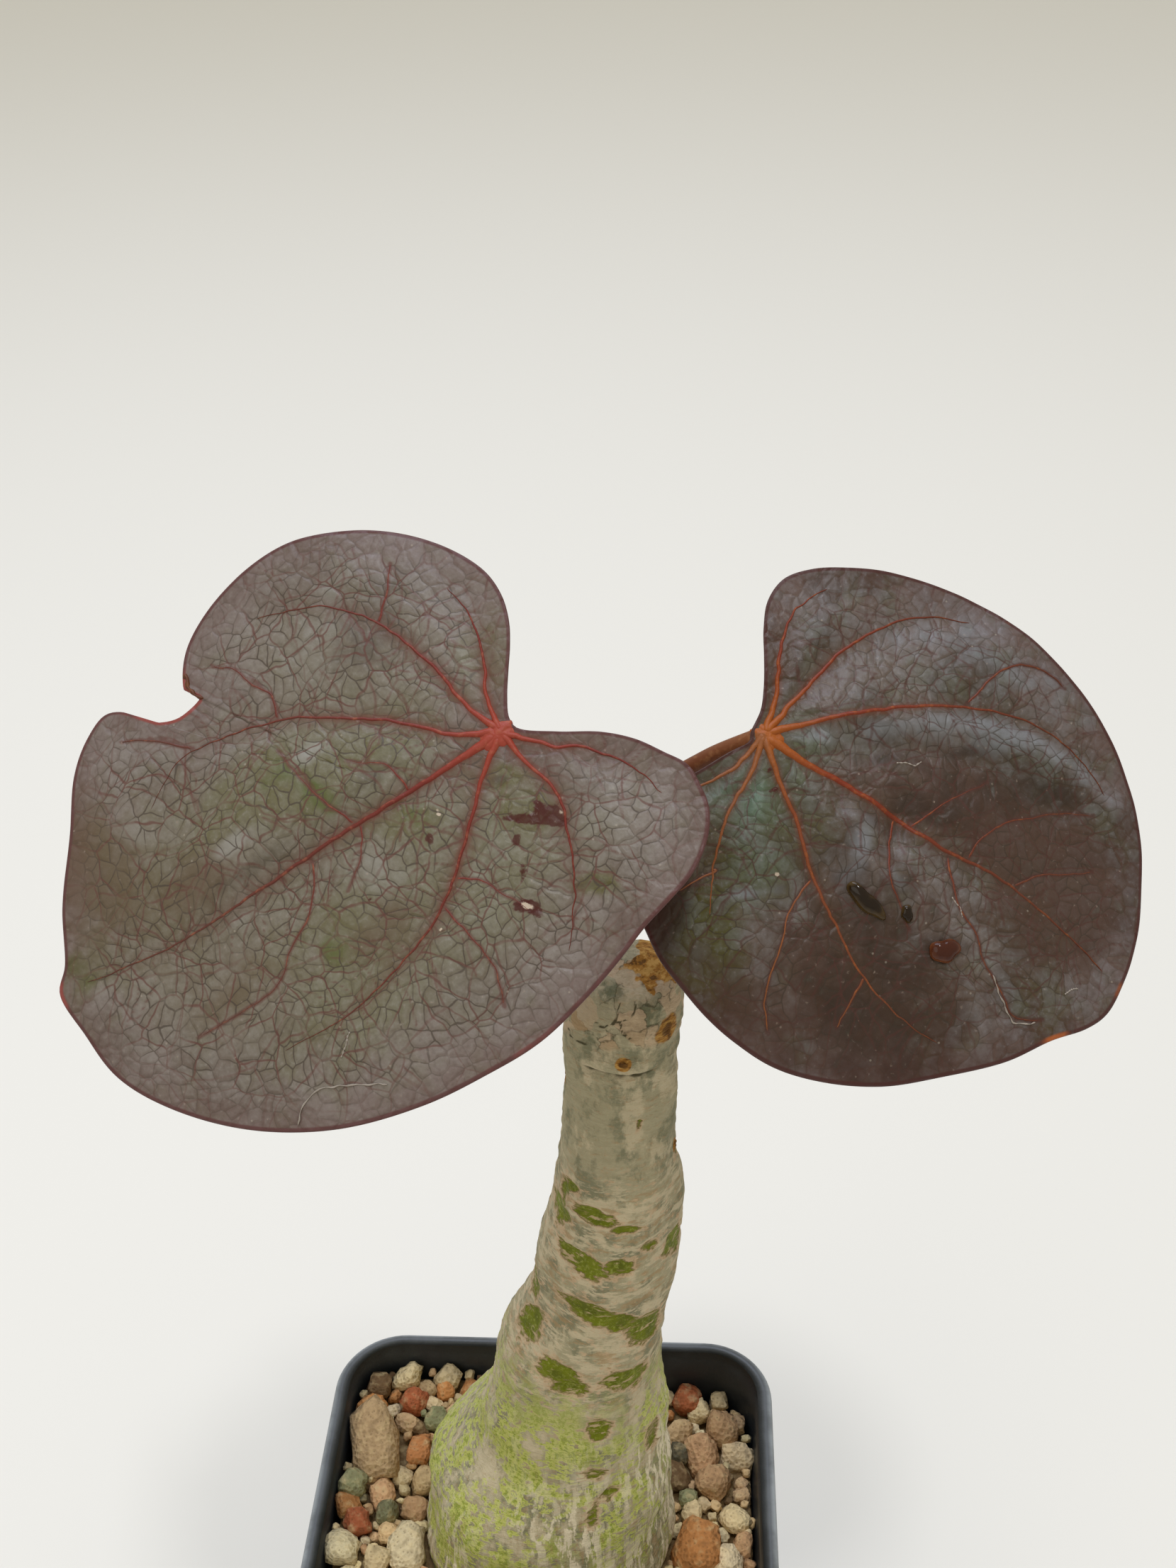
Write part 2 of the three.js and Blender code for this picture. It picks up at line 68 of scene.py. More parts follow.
def linear(code: str) -> tuple[float, float, float, float]:
    """Turns an sRGB hex colour into the linear colour that shaders take.

    Args:
        code: colour as "#rrggbb".

    Returns:
        Linear red, green and blue, and full opacity.
    """
    channels = [int(code[i : i + 2], 16) / 255 for i in (1, 3, 5)]
    red, green, blue = (c / 12.92 if c <= 0.04045 else ((c + 0.055) / 1.055) ** 2.4 for c in channels)
    return red, green, blue, 1.0


def bell(value: Array, width: float) -> Array:
    """A soft bump: 1 where the value is nought, about a third at the width."""
    return np.exp(-((value / width) ** 2))


def ramp(value: Array, low: float, high: float) -> Array:
    """Goes straight from 0 at low to 1 at high, and high may be the smaller number."""
    return np.clip((value - low) / (high - low), 0, 1)


def wrapped(angle: Array) -> Array:
    """An angle brought between minus and plus half a turn."""
    return (angle + np.pi) % (2 * np.pi) - np.pi


def sample(rows: Array, share: Array, marks: Array | None = None) -> Array:
    """Reads rows at shares of their number, or at other marks if each row's mark is given."""
    marks = np.linspace(0, 1, len(rows)) if marks is None else marks
    return np.stack([np.interp(share, marks, column) for column in rows.T], axis=1)


def smooth_path(points: Sequence[Sequence[float]], steps: int, closed: bool = False) -> Array:
    """Draws a centripetal Catmull-Rom curve through points, at equal steps of its length.

    Args:
        points: the points it passes through, in any number of dimensions.
        steps: how many points to return.
        closed: whether it comes back to its first point.

    Returns:
        An array of steps rows, the last of which is the end, or for a closed curve the start again.
    """
    knots = np.asarray(points, float)
    before, after = (knots[-1], knots[:2]) if closed else (2 * knots[0] - knots[1], 2 * knots[-1] - knots[-2])
    knots = np.vstack([before, knots, after])
    share = np.linspace(0, 1, BENDS_PER_SPAN, endpoint=False)[:, None]
    drawn = []
    for a, b, c, d in zip(knots, knots[1:], knots[2:], knots[3:]):
        ab, bc, cd = (max(1e-4, float(np.linalg.norm(q - p)) ** 0.5) for p, q in ((a, b), (b, c), (c, d)))
        start = ((b - a) / ab - (c - a) / (ab + bc) + (c - b) / bc) * bc
        end = ((c - b) / bc - (d - b) / (bc + cd) + (d - c) / cd) * bc
        square, cube = 3 * (c - b) - 2 * start - end, 2 * (b - c) + start + end
        drawn.append(b + start * share + square * share**2 + cube * share**3)
    curve = np.vstack([*drawn, knots[-2][None]])
    gone = np.concatenate([[0], np.cumsum(np.linalg.norm(np.diff(curve, axis=0), axis=1))])
    return sample(curve, np.linspace(0, gone[-1], steps), gone)


def distance_to(points: Array, lines: Sequence[Array]) -> Array:
    """Measures how far each point is from the nearest of some open lines.

    Args:
        points: N points, in a plane or in space.
        lines: lines of two or more such points each.

    Returns:
        N distances.
    """
    nearest = np.full(len(points), 1e9)
    for line in lines:
        for a, b in zip(line, line[1:]):
            along = b - a
            share = np.clip((points - a) @ along / max(1e-9, along @ along), 0, 1)
            nearest = np.minimum(nearest, np.linalg.norm(points - a - share[:, None] * along, axis=1))
    return nearest


def lumps(points: Array, size: float, octaves: int = 3, seed: float = 0.0) -> Array:
    """Fractal noise at points, about -1 to 1.

    Args:
        points: N points of two or three numbers, in mm.
        size: width of its largest lumps, in mm.
        octaves: how many finer layers it has.
        seed: shifts it to another place of the same noise.

    Returns:
        N values.
    """
    third = points[:, 2] / size if points.shape[1] == 3 else np.full(len(points), seed)
    spots = np.column_stack([points[:, 0] / size + seed, points[:, 1] / size, third]).tolist()
    return np.array([noise.fractal(Vector(spot), NOISE_FADE, NOISE_STEP, octaves) for spot in spots])


def ball(around: Array, share: Array) -> tuple[Array, Array, Array]:
    """A unit ball over a grid: the angle round it, the angle up from its middle, and its points."""
    turn, up = 2 * np.pi * around, np.pi * (share - 0.5)
    return turn, up, np.stack([np.cos(up) * np.cos(turn), np.cos(up) * np.sin(turn), np.sin(up)], axis=1)


def shaped_grid(
    bm: bmesh.types.BMesh, columns: int, rows: int, place: Callable[[Array, Array], Array], merge: float = 1e-3
) -> None:
    """Adds a grid whose points a formula moves, and closes its seam and poles.

    Args:
        bm: the mesh it goes into.
        columns: faces along the formula's first share.
        rows: faces along its second share.
        place: takes two arrays of shares from 0 to 1, and gives the points in mm.
        merge: points closer than this, in mm, become one.
    """
    verts = bmesh.ops.create_grid(bm, x_segments=columns, y_segments=rows, size=0.5)["verts"]
    shares = np.array([v.co[:2] for v in verts]) + 0.5
    for vert, point in zip(verts, place(shares[:, 0], shares[:, 1])):
        vert.co = point
    bmesh.ops.remove_doubles(bm, verts=verts, dist=merge)


def tube(
    bm: bmesh.types.BMesh, path: Array, up: Sequence[float], half: Callable[[Array], tuple[Array, Array]],
    sides: int, rings: int,
) -> None:
    """Adds a closed tube along a path.

    Args:
        bm: the mesh it goes into.
        path: its middle line, N points of three numbers.
        up: the direction its height is measured in.
        half: takes shares of its length, and gives its half width and half height.
        sides: faces around it.
        rings: faces along it.
    """
    along = np.gradient(path, axis=0)
    across = np.cross(np.asarray(up, float), along)
    across /= np.linalg.norm(across, axis=1)[:, None]
    rise = np.cross(along, across)
    rise /= np.linalg.norm(rise, axis=1)[:, None]

    def place(around: Array, share: Array) -> Array:
        """Puts a point of the grid on the tube's skin."""
        middle, wide, high = (sample(rows, share) for rows in (path, across, rise))
        width, height = half(share)
        close = np.sqrt(np.clip(np.minimum(share, 1 - share) * rings / 2.5, 0, 1))
        angle = 2 * np.pi * around
        aside, lift = width * close * np.cos(angle), height * close * np.sin(angle)
        return middle + wide * aside[:, None] + high * lift[:, None]

    shaped_grid(bm, sides, rings, place)


def hand_over(bm: bmesh.types.BMesh, name: str, finish: "Finish", slot: str, *nodes: str) -> bpy.types.Object:
    """Turns a mesh in mm into a finished piece that rides on the frame.

    Args:
        bm: the mesh, which is used up.
        name: the piece's name.
        finish: its material.
        slot: the record's material slot; not used.
        nodes: the CAD nodes that it stands for.

    Returns:
        The piece.
    """
    bmesh.ops.recalc_face_normals(bm, faces=bm.faces)
    bmesh.ops.scale(bm, vec=(MM, MM, MM), verts=bm.verts)
    for face in bm.faces:
        face.smooth = True
    piece = put_in_scene(bm, name)
    piece.data.materials.append(finish.material())
    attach(piece, "root")
    if nodes:
        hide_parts(*nodes)
    return piece


def put_in_scene(bm: bmesh.types.BMesh, name: str) -> bpy.types.Object:
    """Turns a mesh into an object of the scene, and frees it.

    Args:
        bm: the mesh, in metres.
        name: the object's name.

    Returns:
        The object.
    """
    mesh = bpy.data.meshes.new(name)
    bm.to_mesh(mesh)
    bm.free()
    made = bpy.data.objects.new(name, mesh)
    bpy.context.scene.collection.objects.link(made)
    return made


def points_of(piece: bpy.types.Object) -> Array:
    """The piece's points in mm, one row each."""
    flat = np.empty(len(piece.data.vertices) * 3)
    piece.data.vertices.foreach_get("co", flat)
    return flat.reshape(-1, 3) / MM


def write_attribute(piece: bpy.types.Object, name: str, values: Array) -> None:
    """Writes a number, a vector or a colour for each point of a piece, for its material to read."""
    kind, key = ATTRIBUTE_KINDS[values[:1].size]
    piece.data.attributes.new(name, kind, "POINT").data.foreach_set(key, values.astype(np.float32).ravel())


# Finishes

# The settings that the nodes of a pattern share: a step that eases in and out, a product, and a share on a base
SOFT = {"interpolation_type": "SMOOTHSTEP"}
TIMES = {"operation": "MULTIPLY"}
SUM = {"operation": "MULTIPLY_ADD"}


class Coat:
    """The nodes of one material while it is painted."""

    def __init__(self, name: str) -> None:
        """Starts a material with its shader and its output.

        Args:
            name: the material's name.
        """
        material = bpy.data.materials.new(name)
        material.use_nodes = True
        self.tree = material.node_tree
        self.tree.nodes.clear()
        self.shader = self.add("BsdfPrincipled").node
        self.add("OutputMaterial", (self.shader.outputs[0],))

    def fill(self, node: bpy.types.Node, links: dict | Sequence) -> None:
        """Links or sets the sockets of a node.

        Args:
            node: the node.
            links: outputs to link or plain values, by socket name or number, or as a row from its first socket.
        """
        for name, value in links.items() if isinstance(links, dict) else enumerate(links):
            if isinstance(value, Socket):
                self.tree.links.new(value, node.inputs[name])
            else:
                node.inputs[name].default_value = value

    def add(self, kind: str, links: dict | Sequence = (), out: int | str = 0, **settings: object) -> Socket | None:
        """Adds one shader node with its settings and links.

        Args:
            kind: the node's type without its "ShaderNode".
            links: what its sockets take, by name or number, or as a row.
            out: which of its outputs is wanted.
            settings: the node's own properties.

        Returns:
            That output.
        """
        node = self.tree.nodes.new("ShaderNode" + kind)
        for name, value in settings.items():
            setattr(node, name, value)
        self.fill(node, links)
        return node.outputs[out] if len(node.outputs) else None

    def lay(self, ground: str | Socket, layers: Sequence[tuple], **step: str) -> Socket:
        """Lays colours over each other, each through a mask.

        Args:
            ground: the lowest colour.
            layers: rows of a mask and a colour, or of a value, the low, high and most of its mask, and a colour.
            step: how the masks that it makes go from low to high.

        Returns:
            The colour's output.
        """
        colour = linear(ground) if isinstance(ground, str) else ground
        for share, *limits, code in layers:
            if limits:
                low, high, most = limits
                share = self.add("MapRange", (share, low, high, 0.0, most), **step)
            colour = self.add("Mix", {0: share, 6: colour, 7: linear(code)}, 2, data_type="RGBA")
        return colour


class Finish:
    """A material made of nodes, built once and shared by the pieces that wear it."""

    name: str

    def paint(self, coat: Coat) -> dict[str, object]:
        """Adds the nodes of this finish, and gives what each socket of the shader takes."""
        raise NotImplementedError

    def material(self) -> bpy.types.Material:
        """The material, made at the first call."""
        if self.name not in bpy.data.materials:
            coat = Coat(self.name)
            coat.fill(coat.shader, self.paint(coat))
        return bpy.data.materials[self.name]


@dataclass(frozen=True)
class LeafSkin(Finish):
    """Living leaf skin under a thin coat of wax: satin, a net of dark red veins over greyish cells, with painted sheen
    along its ridges.

    The net has three sizes, as the real one: areas of 8.5 mm, cells of 4.3 mm and islands of 1.75 mm. The
    finest veins, 0.06 mm on the plant, are drawn 0.15 mm wide so that they still show.

    Attributes:
        nets: for each size of the net its width of cell, its width of vein, both in mm, and its strength.
        heart: how green the middle of the blade is.
    """

    name: str
    mauve: str
    deep: str
    mossy: str
    brown: str
    bloom: str
    shade: str
    net: str
    rib: str
    rim: str
    raw: str
    under: str
    fine: str
    halo: str = "#55362a"
    olive: str = "#544e26"
    window: str = "#50562a"
    stain: str = "#400a04"
    speck: str = "#b3a99a"
    scar: str = "#bfae9c"
    wax: str = "#c4cede"
    heart: float = 0.45
    nets: tuple[tuple[float, float, float], ...] = ((8.5, 0.24, 0.5), (4.3, 0.2, 0.75), (1.75, 0.15, 0.8))

    def paint(self, coat: Coat) -> dict[str, object]:
        """Layers the tones, the net, the marks and the red edge, then the cells' pillowed relief; the pale marks are
        painted sheen.
        """
        add = coat.add
        place = add("Attribute", out="Vector", attribute_name="leaf_mm")
        rib, twig, rim = (add("Attribute", out="Fac", attribute_name=name) for name in ("rib_mm", "twig_mm", "rim_mm"))
        moved = place
        for size, shift in ((9.0, 2.6), (1.3, 0.42)):
            sway = add("TexNoise", {"Vector": place, "Scale": 1 / size, "Detail": 0.0}, "Color", noise_dimensions="2D")
            centred = add("VectorMath", (sway, (0.5, 0.5, 0.5)), operation="SUBTRACT")
            moved = add("VectorMath", (centred, (shift, shift, 0.0), moved), **SUM)
        broad, middling, patchy, grainy = (
            add("TexNoise", {"Vector": place, "Scale": 1 / size, "Detail": 4.0}, noise_dimensions="2D")
            for size in (11.0, 4.0, 2.6, 0.6)
        )
        marks = {}
        for tint in Tint:
            uneven = add("Math", (patchy, 0.8, add("Attribute", out="Fac", attribute_name=tint.value)), **SUM)
            marks[tint] = add("MapRange", (uneven, 0.5, 1.15, 0.0, MOST_OF_TINT.get(tint, 1.0)), **SOFT)
        uneven = add("MapRange", (middling, 0.35, 0.55, 0.5, 1.0), **SOFT)
        strong = add("Math", (uneven, add("MapRange", (rim, 0.8, 6.5, 0.4, 1.0), **SOFT)), **TIMES)
        edges, lines = [], []
        for size, line, strength in self.nets:
            cell = {"Vector": moved, "Scale": 1 / size, "Randomness": 0.95}
            edges.append(add("TexVoronoi", cell, voronoi_dimensions="2D", feature="DISTANCE_TO_EDGE"))
            drawn = add("MapRange", (edges[-1], 0.8 * line / size, 0.2 * line / size, 0.0, strength), **SOFT)
            lines.append(add("Math", (drawn, strong), **TIMES))
        chance = add("SeparateColor", (add("TexVoronoi", cell, "Color", voronoi_dimensions="2D"),)).node.outputs
        torn = add("Math", (grainy, -0.5), operation="ADD")
        most = add("MapRange", (patchy, 0.6, 0.4, 0.82, 0.96), **SOFT)
        stain, scar = (
            add("MapRange", (add("Math", (torn, 1.2, marks[tint]), **SUM), 0.2, 0.72, 0.0, most), **SOFT)
            for tint in (Tint.STAIN, Tint.SCAR)
        )
        dots = add("TexVoronoi", {"Vector": place, "Scale": 1 / 3.1}, voronoi_dimensions="2D").node.outputs
        rare = add("MapRange", (add("SeparateColor", (dots["Color"],), 1), 0.86, 0.92, 0.0, 0.3), **SOFT)
        raw = add("Math", (marks[Tint.RAW], add("MapRange", (rim, 0.5, 0.15, 0.0, 1.0), **SOFT)), **TIMES)
        layers = [
            (broad, 0.4, 0.62, 1.0, self.deep),
            (middling, 0.5, 0.7, 0.35, self.mossy),
            (marks[Tint.MOSSY], self.mossy),
            (marks[Tint.OLIVE], self.olive),
            (chance[0], 0.2, 0.9, 0.2, self.bloom),
            (chance[1], 0.5, 0.95, 0.2, self.deep),
            (rim, 4.0, 12.0, self.heart, self.mossy),
            # Painted light: the islands' puffed middles lifted towards the pale wax colour
            (edges[2], 0.08, 0.34, 0.12, self.bloom),
            (grainy, 0.5, 0.72, 0.2, self.bloom),
            (grainy, 0.46, 0.3, 0.2, self.shade),
            (marks[Tint.BROWN], self.brown),
            # Painted sheen along the ridges, in the pale wax colour
            (marks[Tint.BLOOM], self.bloom),
            # Painted shade in the valleys, on the lower blade and under the left leaf, with a few real dark spots
            (marks[Tint.SHADE], self.shade),
            (marks[Tint.WINDOW], self.window),
            (rim, 5.0, 0.4, 0.28, self.rim),
            (rib, 2.2, 0.3, 0.5, self.halo),
            (lines[2], self.fine),
            (lines[1], self.net),
            (lines[0], self.net),
            (twig, 0.4, 0.1, 0.7, self.net),
            (rib, 0.8, 0.25, 0.6, self.rib),
            (stain, self.stain),
            (dots["Distance"], 0.055, 0.02, rare, self.speck),
            (scar, self.scar),
            (rim, 0.4, 0.16, 0.9, self.rim),
            (raw, self.raw),
            (add("SeparateXYZ", (place,), 2), 0.2, -0.2, 0.8, self.under),
        ]
        relief = add("MapRange", (edges[2], 0.0, 0.24, 0.0, 0.05), **SOFT)
        relief = add("Math", (relief, add("MapRange", (edges[1], 0.0, 0.2, 0.0, 0.1), **SOFT)), operation="ADD")
        relief = add("Math", (grainy, 0.05, relief), **SUM)
        return {
            "Base Color": coat.lay(self.mauve, layers, **SOFT),
            "Roughness": add("Math", (stain, -0.05, add("MapRange", (middling, 0.3, 0.7, 0.36, 0.5))), **SUM),
            "Normal": add("Bump", {"Height": relief, "Distance": MM, "Strength": 0.9}),
            "IOR": 1.42,
            "Specular IOR Level": 0.38,
            "Sheen Weight": 0.05,
            "Sheen Roughness": 0.4,
            "Sheen Tint": linear(self.wax),
        }


@dataclass(frozen=True)
class VeinSkin(Finish):
    """Smooth skin of the ribs and the leaf's cushion: satin, bright red at the cushion and duller outwards."""

    name: str
    root: str
    middle: str
    tip: str
    speck: str
    warm: str = "#91501f"

    def paint(self, coat: Coat) -> dict[str, object]:
        """Runs the red along the rib and breaks it up with paler specks."""
        add = coat.add
        reach, warm = (add("Attribute", out="Fac", attribute_name=name) for name in ("reach", "warm"))
        place = add("TexCoord", out="Object")
        fine = add("TexNoise", {"Vector": place, "Scale": 1 / (0.8 * MM), "Detail": 3.0})
        layers = [
            (reach, 0.02, 0.22, 1.0, self.middle),
            (reach, 0.22, 0.8, 1.0, self.tip),
            (warm, self.warm),
            (fine, 0.52, 0.72, 0.4, self.speck),
        ]
        return {
            "Base Color": coat.lay(self.root, layers),
            "Roughness": add("MapRange", (fine, 0.0, 1.0, 0.35, 0.55)),
            "Normal": add("Bump", {"Height": fine, "Distance": 0.12 * MM, "Strength": 0.7}),
            "IOR": 1.42,
            "Specular IOR Level": 0.35,
        }


@dataclass(frozen=True)
class Bark(Finish):
    """Peeling bark: matt papery grey skin, torn open over living olive-green, with amber cork at the scars."""

    name: str = "peeling_bark"
    paper: str = "#a39b7e"
    ash: str = "#7b7a60"
    cream: str = "#c4b698"
    green: str = "#6c7403"
    deep_green: str = "#525802"
    lime: str = "#b8bb66"
    moss: str = "#7e8c28"
    tan: str = "#a0855f"
    pink: str = "#c4a98a"
    slate: str = "#686a50"
    amber: str = "#9a6822"
    ochre: str = "#c09650"
    umber: str = "#4e3110"
    crack: str = "#3b361d"
    fibre: str = "#dfd3b8"

    def paint(self, coat: Coat) -> dict[str, object]:
        """Lays the streaked papery layers, the open windows with their tan lips, the cork and the cracks."""
        add = coat.add
        place = add("TexCoord", out="Object")
        names = ("window", "cork", "foot", "crack", "plate", "fibre", "band")
        seen = {name: add("Attribute", out="Fac", attribute_name=name) for name in names}
        for name, size, tall, detail in (
            ("mottle", 4.2, 1.5, 5.0), ("flat", 3.6, 0.3, 6.0), ("torn", 1.5, 0.5, 4.0), ("upright", 4.6, 1.8, 6.0),
            ("strand", 1.3, 6.0, 6.0), ("grain", 0.6, 1.0, 3.0), ("wrinkle", 1.6, 0.3, 3.0),
        ):
            scale = 1 / (size * MM)
            at = add("Mapping", {"Vector": place, "Scale": (scale, scale, scale / tall)})
            seen[name] = add("TexNoise", {"Vector": at, "Scale": 1.0, "Detail": detail, "Roughness": 0.64})
        bent = add("TexNoise", {"Vector": place, "Scale": 1 / (1.5 * MM), "Detail": 2.0}, "Color")
        bent = add("VectorMath", (bent, (1.6 * MM, 1.6 * MM, 1.6 * MM), place), **SUM)
        tiles = {"Vector": bent, "Scale": 1 / (2.9 * MM), "Randomness": 1.0}
        torn = add("Math", (seen["torn"], -0.5), operation="ADD")
        seen["opened"] = opened = add("Math", (torn, 1.0, seen["window"]), **SUM)
        seen["patch"] = add("Math", (torn, 0.8, seen["upright"]), **SUM)
        seen["tile"] = add("SeparateColor", (add("TexVoronoi", tiles, "Color"),))
        seen["joint"] = add("TexVoronoi", tiles, feature="DISTANCE_TO_EDGE")
        gates = {name: seen[name] for name in ("band", "plate", "foot", "fibre")}
        for name, value, low, high, most, whole in (
            ("jointed", "mottle", 0.44, 0.54, 1.0, "plate"), ("mossy", "patch", 0.48, 0.42, 1.0, "foot"),
            ("window", "opened", 0.38, 0.6, 1.0, ""), ("deep", "opened", 0.5, 0.8, 1.0, ""),
            ("corky", "cork", 0.25, 0.5, 0.95, ""),
        ):
            share = add("MapRange", (seen[value], low, high, 0.0, most), **SOFT)
            gates[name] = add("Math", (gates[whole], share), **TIMES) if whole else share
        layers = []
        for gate, value, low, high, most, code in (
            ("", "mottle", 0.46, 0.58, 0.9, self.ash),
            ("", "upright", 0.52, 0.62, 0.8, self.cream),
            ("", "torn", 0.58, 0.68, 0.5, self.tan),
            ("band", "flat", 0.5, 0.58, 0.85, self.cream),
            ("band", "flat", 0.46, 0.38, 0.7, self.tan),
            ("band", "torn", 0.56, 0.64, 0.7, self.pink),
            ("plate", "mottle", 0.52, 0.62, 0.8, self.slate),
            ("plate", "tile", 0.4, 0.5, 0.7, self.pink),
            ("plate", "tile", 0.74, 0.84, 0.8, self.tan),
            ("jointed", "joint", 0.05, 0.01, 0.6, self.crack),
            ("foot", "patch", 0.54, 0.49, 1.0, self.lime),
            ("mossy", "grain", 0.4, 0.6, 0.9, self.moss),
            ("fibre", "strand", 0.49, 0.55, 0.95, self.fibre),
            ("fibre", "strand", 0.43, 0.37, 0.6, self.tan),
            ("", "grain", 0.55, 0.75, 0.3, self.cream),
            ("", "grain", 0.42, 0.28, 0.35, self.tan),
            ("", "opened", 0.2, 0.38, 0.8, self.pink),
            ("", "opened", 0.34, 0.44, 0.5, self.tan),
            ("", "opened", 0.38, 0.6, 1.0, self.green),
            ("deep", "mottle", 0.38, 0.6, 0.85, self.deep_green),
            ("window", "grain", 0.5, 0.7, 0.35, self.lime),
            ("window", "flat", 0.56, 0.62, 0.75, self.pink),
            ("window", "wrinkle", 0.58, 0.7, 0.5, self.tan),
            ("", "cork", 0.25, 0.5, 0.95, self.amber),
            ("corky", "wrinkle", 0.5, 0.6, 0.85, self.ochre),
            ("corky", "wrinkle", 0.46, 0.38, 0.85, self.umber),
            ("", "cork", 0.86, 1.0, 0.7, self.umber),
            # Cracks, and the painted shade in the ring's groove
            ("", "crack", 0.3, 0.65, 0.9, self.crack),
        ):
            share = add("MapRange", (seen[value], low, high, 0.0, most), **SOFT)
            layers.append((add("Math", (gates[gate], share), **TIMES) if gate else share, code))
        relief = add("Math", (seen["flat"], seen["torn"]), operation="ADD")
        fibres = add("Math", (seen["fibre"], seen["strand"]), **TIMES)
        for value, share in ((fibres, 1.2), (seen["grain"], 0.5), (gates["window"], -0.9)):
            relief = add("Math", (value, share, relief), **SUM)
        return {
            "Base Color": coat.lay(self.paper, layers),
            "Roughness": add("MapRange", (gates["window"], 0.0, 1.0, 0.8, 0.6)),
            "Normal": add("Bump", {"Height": relief, "Distance": 0.5 * MM, "Strength": 0.9}),
            "IOR": 1.45,
            "Specular IOR Level": 0.25,
        }


@dataclass(frozen=True)
class StoneGrit(Finish):
    """Pumice, crushed brick and river stone: matt, each grain of one stone with pores and dust on it."""

    name: str = "mixed_grit"
    dust: str = "#cab384"
    pore: str = "#5a452a"

    def paint(self, coat: Coat) -> dict[str, object]:
        """Takes each grain's own colour and adds its mottle, dust and pores."""
        add = coat.add
        own = add("Attribute", out="Color", attribute_name="stone")
        place = add("TexCoord", out="Object")
        mottle = add("TexNoise", {"Vector": place, "Scale": 1 / (1.6 * MM), "Detail": 4.0})
        pores = add("TexVoronoi", {"Vector": place, "Scale": 1 / (0.7 * MM)}, "Distance")
        layers = [
            (mottle, 0.5, 0.75, 0.6, self.dust),
            (mottle, 0.5, 0.3, 0.35, self.pore),
            (pores, 0.3, 0.12, 0.4, self.pore),
        ]
        relief = add("Math", (pores, mottle), operation="ADD")
        return {
            "Base Color": coat.lay(own, layers),
            "Roughness": add("MapRange", (mottle, 0.0, 1.0, 0.72, 0.95)),
            "Normal": add("Bump", {"Height": relief, "Distance": 0.35 * MM, "Strength": 0.9}),
            "IOR": 1.5,
            "Specular IOR Level": 0.25,
        }


@dataclass(frozen=True)
class PotPlastic(Finish):
    """Injection-moulded polypropylene: slate black and satin, faintly orange-peeled, with a painted highlight along the
    rim's outer edge, patchy where it is scuffed.
    """

    name: str = "moulded_polypropylene"
    plastic: str = "#282b2e"
    dust: str = "#4d5052"
    rim_highlight: str = "#8f959a"

    def paint(self, coat: Coat) -> dict[str, object]:
        """Adds the moulding's fine peel, scuffs and the dust, and the painted highlight on the rim's edge."""
        add = coat.add
        place = add("TexCoord", out="Object")
        scuffs = add("TexNoise", {"Vector": place, "Scale": 1 / (7 * MM), "Detail": 6.0, "Roughness": 0.65})
        peel = add("TexNoise", {"Vector": place, "Scale": 1 / (0.5 * MM), "Detail": 2.0})
        scuff_breakup = add("MapRange", (scuffs, 0.35, 0.6, 0.45, 1.0))
        # Painted highlight along the rim's outer edge, broken up by the scuffs
        rim_highlight = add("Math", (add("Attribute", out="Fac", attribute_name="edge"), scuff_breakup), **TIMES)
        layers = [(scuffs, 0.48, 0.75, 0.35, self.dust), (rim_highlight, self.rim_highlight)]
        return {
            "Base Color": coat.lay(self.plastic, layers),
            "Roughness": add("MapRange", (scuffs, 0.3, 0.7, 0.36, 0.56)),
            "Normal": add("Bump", {"Height": peel, "Distance": 0.05 * MM, "Strength": 0.6}),
            "IOR": 1.49,
        }


@dataclass(frozen=True)
class Water(Finish):
    """A standing drop of water: mirror-smooth, dark with the wet skin below it, lighter at its foot with painted
    caustic light.
    """

    name: str
    tint: str
    caustic_light: str

    def paint(self, coat: Coat) -> dict[str, object]:
        """Runs the drop's tone from the painted caustic light at its foot to its dark crown, and adds a slight ripple
        to its gloss.
        """
        add = coat.add
        crown = add("Attribute", out="Fac", attribute_name="crown")
        ripple = add("TexNoise", {"Vector": add("TexCoord", out="Object"), "Scale": 1 / (1.2 * MM), "Detail": 1.0})
        swirl = add("Math", (ripple, 1.1, crown), **SUM)
        return {
            "Base Color": coat.lay(self.caustic_light, [(swirl, 0.6, 1.35, 1.0, self.tint)], **SOFT),
            "Roughness": 0.08,
            "Normal": add("Bump", {"Height": ripple, "Distance": 0.08 * MM, "Strength": 0.3}),
            "IOR": 1.333,
        }


@dataclass(frozen=True)
class PaleFloor(Finish):
    """Matt white laminate: a plain pale ground with hardly any tone of its own."""

    name: str = "pale_laminate"
    white: str = "#e6e4df"

    def paint(self, coat: Coat) -> dict[str, object]:
        """Sets one matt pale colour."""
        return {"Base Color": linear(self.white), "Roughness": 0.7}


# Leaves


class Tint(Enum):
    """What a painted mark on a blade does to its colour."""

    MOSSY = "mossy"
    BROWN = "brown"
    OLIVE = "olive"
    WINDOW = "window"
    STAIN = "stain"
    # Painted shade: valleys beside the folds, the right blade's darker lower half and the left leaf's shadow on it; a
    # few marks are dark rims of spots
    SHADE = "shade"
    # Painted sheen: pale bluish streaks along the ridges, standing in for satin highlights
    BLOOM = "bloom"
    SCAR = "scar"
    RAW = "raw"


# How far these tints cover the skin at most; the others cover it whole
MOST_OF_TINT = {Tint.BLOOM: 0.65, Tint.SHADE: 0.65, Tint.BROWN: 0.78}
# Cork over a healed scratch, matt and pale grey, and the dead edge of the bite, brown and brittle
HEALED = VeinSkin("healed_scar", "#948a80", "#948a80", "#83796f", "#665a51")
DRY = VeinSkin("dry_leaf_edge", "#7a3c22", "#5a3018", "#40210f", "#8a5a30")


def from_polar(points: Line) -> Array:
    """Turns points of degrees and reach from the junction into points of the blade's plane."""
    angle, reach = np.radians([p[0] for p in points]), np.array([p[1] for p in points], float)
    return np.stack([reach * np.cos(angle), reach * np.sin(angle)], axis=1)


